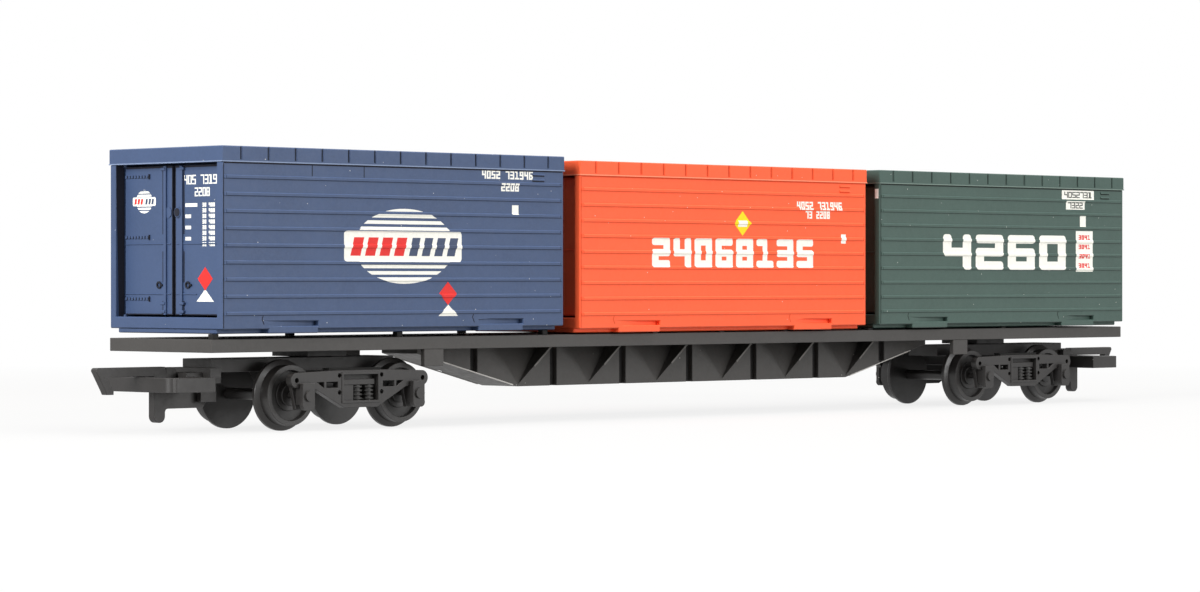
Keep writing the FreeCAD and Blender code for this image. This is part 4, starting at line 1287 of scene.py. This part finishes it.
@dataclass
class Chassis:
    """The deck, its girder, side boxes, seats and bogie pivots."""

    soft: float = 0.08
    deck_under: float = 13.7
    bay: float = 18.32
    bay_edge_back: float = 2.77
    bay_edge_place: Flat = (4.8, 11.8)
    bay_edge: Point = (0.34, 0.12, 5.6)
    bay_lean: float = math.atan2(8.59, 7.0)
    groove_wide: float = 1.6
    groove_back: float = 3.8
    groove_back_thick: float = 0.06
    groove_lows: Flat = (6.5, 9.5)
    outer_groove: float = 56.86
    rise_place: Point = (56.5, 4.76, 9.13)
    rise_edge: Point = (19.6, 0.14, 0.2)
    rise_slope: float = math.atan(0.254)

    def build(self) -> None:
        """Builds every piece of the chassis."""
        # The seats take painted shade, and the pivots a darker copy of the plastic as painted shade, for
        # both sit deep under the containers and the deck.
        finishes = {"deck_frame": CHASSIS, "spine_girder": CHASSIS, "side_boxes": CHASSIS,
                    "container_seats": GROOVE_SHADE, "left_bogie_pivot": DEEP_SHADE, "right_bogie_pivot": DEEP_SHADE}
        for node, finish in finishes.items():
            rebuild(node, finish, "wagon", self.soft)
        self.build_groove_shades()
        self.build_bay_highlights()
        self.build_rise_highlights()

    def build_groove_shades(self) -> None:
        """Builds painted shade on the backs of the girder's upright grooves."""
        work = Moulding()
        inner = [(self.bay * post, self.groove_lows[0]) for post in range(-2, 3)]
        outer = [(end.value * self.outer_groove, self.groove_lows[1]) for end in End]
        for side in Side:
            for place, low in inner + outer:
                work.block((place, side.value * self.groove_back, (low + self.deck_under) / 2),
                           (self.groove_wide, self.groove_back_thick, self.deck_under - low))
        work.piece("girder_groove_backs", GROOVE_SHADE, "wagon")

    def build_bay_highlights(self) -> None:
        """Builds a painted highlight: a light strip along the upper part of each bay's slanting edge."""
        work = Moulding()
        out, height = self.bay_edge_place
        for side in Side:
            turn = Matrix.Rotation(-side.value * self.bay_lean, 4, "Y")
            for bay in range(-2, 4):
                place = side.value * (self.bay_edge_back - self.bay * bay)
                work.block((place, side.value * out, height), self.bay_edge, turn=turn)
        work.piece("girder_bay_edges", CHASSIS_EDGE_HIGHLIGHT, "wagon")

    def build_rise_highlights(self) -> None:
        """Builds a painted highlight, a light line along the lit lower edges of the girder's rising
        ends.
        """
        work = Moulding()
        along, out, height = self.rise_place
        for side in Side:
            for end in End:
                work.block((end.value * along, side.value * out, height), self.rise_edge,
                           turn=Matrix.Rotation(-end.value * self.rise_slope, 4, "Y"))
        work.piece("girder_rise_edges", CHASSIS_RISE_HIGHLIGHT, "wagon")


@dataclass
class Bogie:
    """A bogie with its springs, wheelsets and coupling.

    Outlines are points along the wagon from the bogie's middle and up; a place is how far out from
    the wagon's middle plane a shape is and how high.
    """

    end: End
    soft: float = 0.07
    pivot: float = 92.1
    loop_side: float = 9.0
    loop_swell: float = 0.45
    hook_thick: float = 1.48
    hook_soft: float = 0.06
    hook_tail: tuple[Flat, ...] = ((32.4, 8.6), (32.4, 11.15), (30.4, 11.15), (30.4, 8.6))
    hook_nose: tuple[Flat, ...] = ((45.9, 9.75), (44.3, 7.35), (43.75, 7.35), (45.0, 9.75))
    spring_back_place: Flat = (11.2, 7.3)
    spring_back: Point = (7.8, 0.12, 4.7)
    gap_fill_place: Flat = (11.4, 10.4)
    gap_fill: Point = (12.0, 1.6, 0.7)
    dish_place: float = 9.1
    dish_depth: float = 0.06
    dish_radii: Flat = (2.74, 4.3)

    def build(self) -> None:
        """Builds every piece of the bogie."""
        rebuild(f"{self.label}_bogie_frame", BOGIE, self.body, self.soft)
        # The springs take a darker copy of the plastic as painted shade, deep in their windows.
        rebuild(f"{self.label}_bogie_springs", DEEP_SHADE, self.body, self.soft)
        self.build_loop()
        self.build_window_backs()
        rebuild(f"{self.label}_hook_pin", PinSteel(), self.body, self.soft)
        rebuild(f"{self.label}_coupling_hook", BOGIE, f"{self.label}_hook", self.soft)
        self.build_hook_web()
        for axle in ("outer", "inner"):
            node = f"{self.label}_{axle}_wheelset"
            rebuild(node, WHEELS, f"{node}_body", self.soft)
            self.build_wheel_shades(node)

    @property
    def label(self) -> str:
        """The end's name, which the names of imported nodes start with."""
        return self.end.name.lower()

    @property
    def body(self) -> str:
        """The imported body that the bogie's frame is."""
        return f"{self.label}_bogie"

    @property
    def middle(self) -> float:
        """Where the bogie turns, along the wagon."""
        return self.end.value * self.pivot

    def build_loop(self) -> None:
        """Builds the coupling loop, with its side bars a little stouter outside."""
        node = f"{self.label}_coupling_loop"
        shape = Moulding.copied(node)
        shape.widen(self.loop_side, self.loop_swell)
        shape.soften(self.soft)
        shape.piece(f"{node}_moulding", BOGIE, self.body, [node], built=False)

    def build_hook_web(self) -> None:
        """Builds the web behind the hook's tail and the thicker root of its nose."""
        work = Moulding()
        out = self.end.value
        for outline in (self.hook_tail, self.hook_nose):
            work.prism([(self.middle + out * along, -self.hook_thick / 2, height)
                        for along, height in outline], (0, self.hook_thick, 0), self.hook_soft)
        work.piece(f"{self.label}_hook_web", BOGIE, f"{self.label}_hook")

    def build_window_backs(self) -> None:
        """Builds painted shade: dark sheets behind the springs and above the side frames, where there is
        only shade.
        """
        work = Moulding()
        for side in Side:
            for (out, height), size in ((self.spring_back_place, self.spring_back),
                                        (self.gap_fill_place, self.gap_fill)):
                work.block((self.middle, side.value * out, height), size)
        work.piece(f"{self.label}_window_backs", GROOVE_SHADE, self.body)

    def build_wheel_shades(self, node: str) -> None:
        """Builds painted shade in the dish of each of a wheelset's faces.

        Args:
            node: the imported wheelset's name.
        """
        low, high = low_and_high(node)
        inner, outer = self.dish_radii
        loop = [(0.0, inner), (0.0, outer), (self.dish_depth, outer), (self.dish_depth, inner),
                (0.0, inner)]
        work = Moulding()
        for side in Side:
            centre = ((low.x + high.x) / 2, side.value * self.dish_place, (low.z + high.z) / 2)
            work.turned(loop, centre, (0, side.value, 0))
        work.piece(f"{node}_dishes", DEEP_SHADE, f"{node}_body")


@dataclass(frozen=True)
class Place:
    """A place for prints: a face, with the start of its pieces' names and its body."""

    container: str
    label: str
    face: Face
    body: str = "wagon"

    def lay(self, sheet: PrintedSheet, name: str, ink: Ink, layer: int = 0) -> None:
        """Lays a sheet here.

        Args:
            sheet: the sheet.
            name: what its piece is called among the place's prints.
            ink: its ink.
            layer: how many other inks lie under it.
        """
        finish = PrintedInk(f"{self.container}_{ink.name.lower()}_ink", ink.value,
                            f"{self.container}_plastic")
        sheet.laid(f"{self.container}_{self.label}_{name}_print", self.face, finish, self.body, layer)


@dataclass
class BluePrints:
    """The prints of the blue container, each as its middle and its size on its face."""

    box: Container
    stroke: Flat = (0.34, 0.3)
    badge: Mark = ((41.0, 14.2), (23.4, 13.1))
    badge_stripes: Flat = (1.1, 0.55)
    band: Mark = ((40.8, 14.15), (27.6, 5.3))
    band_round: float = 0.6
    number: Mark = ((65.9, 27.15), (12.6, 1.5))
    code: Mark = ((66.5, 24.95), (4.4, 1.45))
    sign: Mark = ((67.8, 20.9), (1.6, 1.7))
    arrow: Mark = ((51.4, 2.95), (4.7, 2.0))
    diamond: Mark = ((51.3, 5.95), (4.2, 4.1))
    bars: int = 4
    bar_lean: float = 0.9
    red_bar: Mark = ((30.0, 14.1), (2.3, 3.2))
    red_pitch: float = 3.35
    navy_bar: Mark = ((43.4, 14.1), (1.9, 3.2))
    navy_pitch: float = 3.0

    def print_side(self, side: Side) -> None:
        """Prints the striped badge, the numbers and the blank signs on a side.

        Args:
            side: the side.
        """
        white, band, red, navy = (PrintedSheet() for _ in range(4))
        white.louvred_oval(*self.badge, *self.badge_stripes)
        white.digits(LONG_NUMBER, *self.number, self.stroke)
        white.digits(SHORT_NUMBER, *self.code, self.stroke)
        white.bar(*self.sign)
        white.polygon(*self.arrow, 3)
        band.bar(*self.band, rounded=self.band_round)
        red.bars(*self.red_bar, self.bars, self.red_pitch, self.bar_lean)
        navy.bars(*self.navy_bar, self.bars, self.navy_pitch, self.bar_lean)
        red.polygon(*self.diamond, 4)
        place = Place("blue", side.name.lower(), self.box.side(side))
        place.lay(white, "white", Ink.WHITE)
        place.lay(band, "band", Ink.WHITE, 1)
        place.lay(red, "red", Ink.RED, 2)
        place.lay(navy, "navy", Ink.NAVY, 2)


@dataclass
class BlueDoorPrints:
    """The prints of the blue container's doors, each as its middle and its size on their plane."""

    box: Container
    stroke: Flat = (0.27, 0.22)
    number: Mark = ((7.1, 25.3), (8.8, 1.6))
    code: Mark = ((7.6, 23.2), (4.0, 1.5))
    rows: int = 8
    row: Mark = ((9.3, 21.0), (3.3, 0.7))
    row_pitch: float = 0.95
    row_stroke: Flat = (0.2, 0.16)
    heading_start: float = 3.1
    heading_lengths: Flat = (3.2, 1.5)
    heading_tall: float = 0.6
    arrow: Mark = ((8.4, 5.7), (4.6, 2.1))
    diamond: Mark = ((8.4, 8.5), (4.0, 4.0))
    badge: Mark = ((-8.1, 21.75), (4.5, 4.0))
    badge_stripes: Flat = (0.56, 0.66)
    band: Mark = ((-8.1, 21.75), (6.3, 1.5))
    band_round: float = 0.3
    bars: int = 3
    bar_pitch: float = 0.85
    bar_lean: float = 0.2
    red_bar: Mark = ((-10.45, 21.75), (0.55, 0.95))
    navy_bar: Mark = ((-7.45, 21.75), (0.55, 0.95))

    def print_near(self) -> None:
        """Prints the numbers, the table and the blank signs on the near door."""
        white, red = PrintedSheet(), PrintedSheet()
        white.digits("405 7319", *self.number, self.stroke)
        white.digits(SHORT_NUMBER, *self.code, self.stroke)
        (across, top), size = self.row
        for row in range(self.rows):
            height = top - self.row_pitch * row
            white.digits("30 480", (across, height), size, self.row_stroke)
            if row % 2 == 0:
                long = self.heading_lengths[0 if row == 0 else 1]
                white.bar((self.heading_start + long / 2, height), (long, self.heading_tall))
        white.polygon(*self.arrow, 3)
        red.polygon(*self.diamond, 4)
        place = Place("blue", "near_door", self.box.door_face(), "blue_near_door_leaf")
        place.lay(white, "white", Ink.WHITE)
        place.lay(red, "red", Ink.RED, 1)

    def print_far(self) -> None:
        """Prints the small round badge on the far door."""
        badge, band, red, navy = (PrintedSheet() for _ in range(4))
        badge.louvred_oval(*self.badge, *self.badge_stripes)
        band.bar(*self.band, rounded=self.band_round)
        red.bars(*self.red_bar, self.bars, self.bar_pitch, self.bar_lean)
        navy.bars(*self.navy_bar, self.bars, self.bar_pitch, self.bar_lean)
        place = Place("blue", "far_door", self.box.door_face(), "blue_far_door_leaf")
        place.lay(badge, "white", Ink.WHITE)
        place.lay(band, "band", Ink.WHITE, 1)
        place.lay(red, "red", Ink.RED, 2)
        place.lay(navy, "navy", Ink.NAVY, 2)


@dataclass
class OrangePrints:
    """The prints of the orange container, each as its middle and its size on its face."""

    box: Container
    large: Mark = ((41.6, 14.05), (45.2, 5.5))
    large_stroke: Flat = (1.75, 1.35)
    large_round: float = 0.45
    number: Mark = ((66.1, 23.4), (13.2, 1.6))
    number_stroke: Flat = (0.36, 0.32)
    code: Mark = ((65.6, 21.65), (7.1, 1.5))
    code_stroke: Flat = (0.34, 0.3)
    sign: Mark = ((73.2, 17.0), (1.4, 1.8))
    diamond: Mark = ((43.9, 19.75), (4.8, 4.7))
    patch: Mark = ((43.9, 19.7), (2.5, 1.2))

    def print_side(self, side: Side) -> None:
        """Prints the large number and the small signs on a side.

        Args:
            side: the side.
        """
        white, yellow, patch = (PrintedSheet() for _ in range(3))
        white.digits("24068135", *self.large, self.large_stroke, self.large_round)
        white.digits(LONG_NUMBER, *self.number, self.number_stroke)
        white.digits("73 2208", *self.code, self.code_stroke)
        white.bar(*self.sign)
        yellow.polygon(*self.diamond, 4)
        patch.bar(*self.patch)
        place = Place("orange", side.name.lower(), self.box.side(side))
        place.lay(white, "white", Ink.WHITE)
        place.lay(yellow, "yellow", Ink.YELLOW, 1)
        place.lay(patch, "patch", Ink.WHITE, 2)


@dataclass
class GreenPrints:
    """The prints of the green container, each as its middle and its size on its face."""

    box: Container
    large: Mark = ((39.9, 14.6), (40.4, 7.2))
    large_stroke: Flat = (2.7, 1.75)
    large_round: float = 0.8
    number_plate: Mark = ((64.3, 26.85), (11.0, 1.9))
    code_plate: Mark = ((63.4, 24.65), (6.4, 1.8))
    sign: Mark = ((66.0, 21.3), (2.0, 2.3))
    panel: Mark = ((66.5, 14.95), (5.8, 8.6))
    number: Mark = ((64.3, 26.85), (9.4, 1.3))
    code: Mark = ((63.4, 24.65), (5.0, 1.3))
    stroke: Flat = (0.3, 0.22)
    rows: int = 4
    row: Mark = ((66.5, 11.95), (3.9, 0.95))
    row_pitch: float = 1.98
    row_stroke: Flat = (0.34, 0.2)
    post_plate: Mark = ((14.37, 26.09), (0.95, 1.9))

    def print_side(self, side: Side) -> None:
        """Prints the large number, the plates and the panel on a side.

        Args:
            side: the side.
        """
        white, dark, red = (PrintedSheet() for _ in range(3))
        white.digits("4260", *self.large, self.large_stroke, self.large_round)
        for mark in (self.number_plate, self.code_plate, self.sign, self.panel):
            white.bar(*mark)
        dark.digits("4052731", *self.number, self.stroke)
        dark.digits("7322", *self.code, self.stroke)
        (across, low), size = self.row
        for row in range(self.rows):
            red.digits("3041", (across, low + self.row_pitch * row), size, self.row_stroke)
        place = Place("green", side.name.lower(), self.box.side(side))
        place.lay(white, "white", Ink.WHITE)
        place.lay(dark, "dark", Ink.DARK, 1)
        place.lay(red, "red", Ink.RED, 1)

    def print_post(self) -> None:
        """Prints the small blank plate on the near door post."""
        plate = PrintedSheet()
        plate.bar(*self.post_plate)
        face = Face(Facing.LEFT, (self.box.left, 0.0, self.box.floor))
        Place("green", "post", face).lay(plate, "white", Ink.WHITE)


def seen_rays(tree: bpy.types.NodeTree) -> bpy.types.Node:
    """Tells rays that see the surroundings, straight on or in a gloss, from rays that light the wagon.

    Args:
        tree: the node tree that takes the nodes.

    Returns:
        The node whose first output is 1 for a camera, glossy or transmission ray and 0 for others.
    """
    ray = tree.nodes.new("ShaderNodeLightPath")
    seen = ray.outputs["Is Camera Ray"]
    for other in ("Is Glossy Ray", "Is Transmission Ray"):
        either = tree.nodes.new("ShaderNodeMath")
        either.operation = "MAXIMUM"
        tree.links.new(seen, either.inputs[0])
        tree.links.new(ray.outputs[other], either.inputs[1])
        seen = either.outputs[0]
    return either


def pointed(shape: bpy.types.Object, place: Point, ahead: Vector) -> None:
    """Places a lamp or a camera and points it.

    Args:
        shape: its object.
        place: its place in millimetres.
        ahead: the direction that it looks in.
    """
    shape.location = Vector(place) * MM
    shape.rotation_mode = "QUATERNION"
    shape.rotation_quaternion = ahead.to_track_quat("-Z", "Y")


@dataclass(frozen=True)
class Lamp:
    """A soft square lamp: its place in millimetres, its side in metres and its power in watts."""

    name: str
    place: Point
    size: float
    power: float

    def build(self, aim: Point) -> None:
        """Adds the lamp.

        Args:
            aim: the place that it points at, in millimetres.
        """
        data = bpy.data.lights.new(self.name, "AREA")
        data.size, data.energy = self.size, self.power
        pointed(added(self.name, data), self.place, Vector(aim) - Vector(self.place))


@dataclass
class Studio:
    """The pale floor, the soft lamps, the white surroundings and the camera.

    Places and the lens are in millimetres, the floor and the shadows' reach on it in metres and the
    camera's turns in radians.
    """

    camera_place: Point = (-516.77, -495.03, 25.81)
    camera_yaw: float = 0.7876
    camera_pitch: float = -0.0041
    lens: float = 110.85
    sensor: float = 36.0
    clip: Flat = (0.01, 20.0)
    floor_radius: float = 4.0
    floor_steps: int = 96
    floor_colour: Colour = (226, 224, 221)
    floor_bounce: Colour = (150, 149, 147)
    floor_glow: float = 0.82
    shadow_reach: Flat = (0.2, 0.45)
    sky: float = 0.3
    aim: Point = (0, 0, 25)
    lamps: tuple[Lamp, ...] = (Lamp("key_lamp", (-930, -70, 330), 0.5, 9.8),
                               Lamp("front_lamp", (250, -920, 300), 0.6, 6.2),
                               Lamp("top_lamp", (160, -160, 900), 0.8, 5.0))

    def build(self) -> None:
        """Sets up everything round the wagon."""
        self.build_floor()
        self.build_world()
        for lamp in self.lamps:
            lamp.build(self.aim)
        self.build_camera()

    def build_floor(self) -> None:
        """Lays a floor that takes shadows near the wagon and is plain white further off."""
        mesh = bmesh.new()
        bmesh.ops.create_circle(mesh, cap_ends=True, segments=self.floor_steps,
                                radius=self.floor_radius)
        sheet = Shading("floor_white")
        reach = sheet.add("ShaderNodeVectorMath", operation="LENGTH")
        sheet.join(sheet.coordinates, "Object", reach, 0)
        far = sheet.ranged(reach, "Value", self.shadow_reach, (self.floor_glow, 1.0))
        seen = seen_rays(sheet.tree)
        paint = sheet.add("ShaderNodeBsdfDiffuse")
        tone = sheet.blended(seen, linear(self.floor_bounce), linear(self.floor_colour))
        sheet.join(tone, MIX_RESULT, paint, "Color")
        mixed = sheet.add("ShaderNodeMixShader")
        sheet.join(sheet.product(far, seen), 0, mixed, 0)
        sheet.join(paint, 0, mixed, 1)
        sheet.join(sheet.add("ShaderNodeEmission"), 0, mixed, 2)
        meshed("floor", mesh, sheet.surface(mixed))

    def build_world(self) -> None:
        """Makes surroundings that are white to look at and light the wagon softly."""
        world = bpy.data.worlds.new("studio")
        bpy.context.scene.world = world
        world.use_nodes = True
        tree = world.node_tree
        tree.nodes.clear()
        output = tree.nodes.new("ShaderNodeOutputWorld")
        mixed = tree.nodes.new("ShaderNodeMixShader")
        tree.links.new(seen_rays(tree).outputs[0], mixed.inputs[0])
        for place, strength in ((1, self.sky), (2, 1.0)):
            light = tree.nodes.new("ShaderNodeBackground")
            light.inputs["Color"].default_value = (1, 1, 1, 1)
            light.inputs["Strength"].default_value = strength
            tree.links.new(light.outputs[0], mixed.inputs[place])
        tree.links.new(mixed.outputs[0], output.inputs["Surface"])

    def build_camera(self) -> None:
        """Places the camera, low beside the left end, level with the deck."""
        data = bpy.data.cameras.new("camera")
        data.lens, data.sensor_width, data.sensor_fit = self.lens, self.sensor, "HORIZONTAL"
        data.clip_start, data.clip_end = self.clip
        camera = added("camera", data)
        level = math.cos(self.camera_pitch)
        pointed(camera, self.camera_place, Vector((math.sin(self.camera_yaw) * level,
                                                   math.cos(self.camera_yaw) * level,
                                                   math.sin(self.camera_pitch))))
        bpy.context.scene.camera = camera


def main() -> None:
    """Builds the wagon's looks in order."""
    logging.basicConfig(level=logging.INFO, format="%(name)s: %(message)s")
    bpy.context.scene.view_settings.view_transform = "Standard"
    Chassis().build()
    for end in End:
        Bogie(end).build()
    blue = Container("blue", BLUE, joints=(19.8, 31.6))
    orange = Container("orange", ORANGE)
    green = Container("green", GREEN)
    for box in (blue, orange, green):
        box.build()
    for side in Side:
        for prints in (BluePrints(blue), OrangePrints(orange), GreenPrints(green)):
            prints.print_side(side)
    BlueDoorPrints(blue).print_near()
    BlueDoorPrints(blue).print_far()
    GreenPrints(green).print_post()
    Studio().build()


if __name__ == "__main__":
    main()
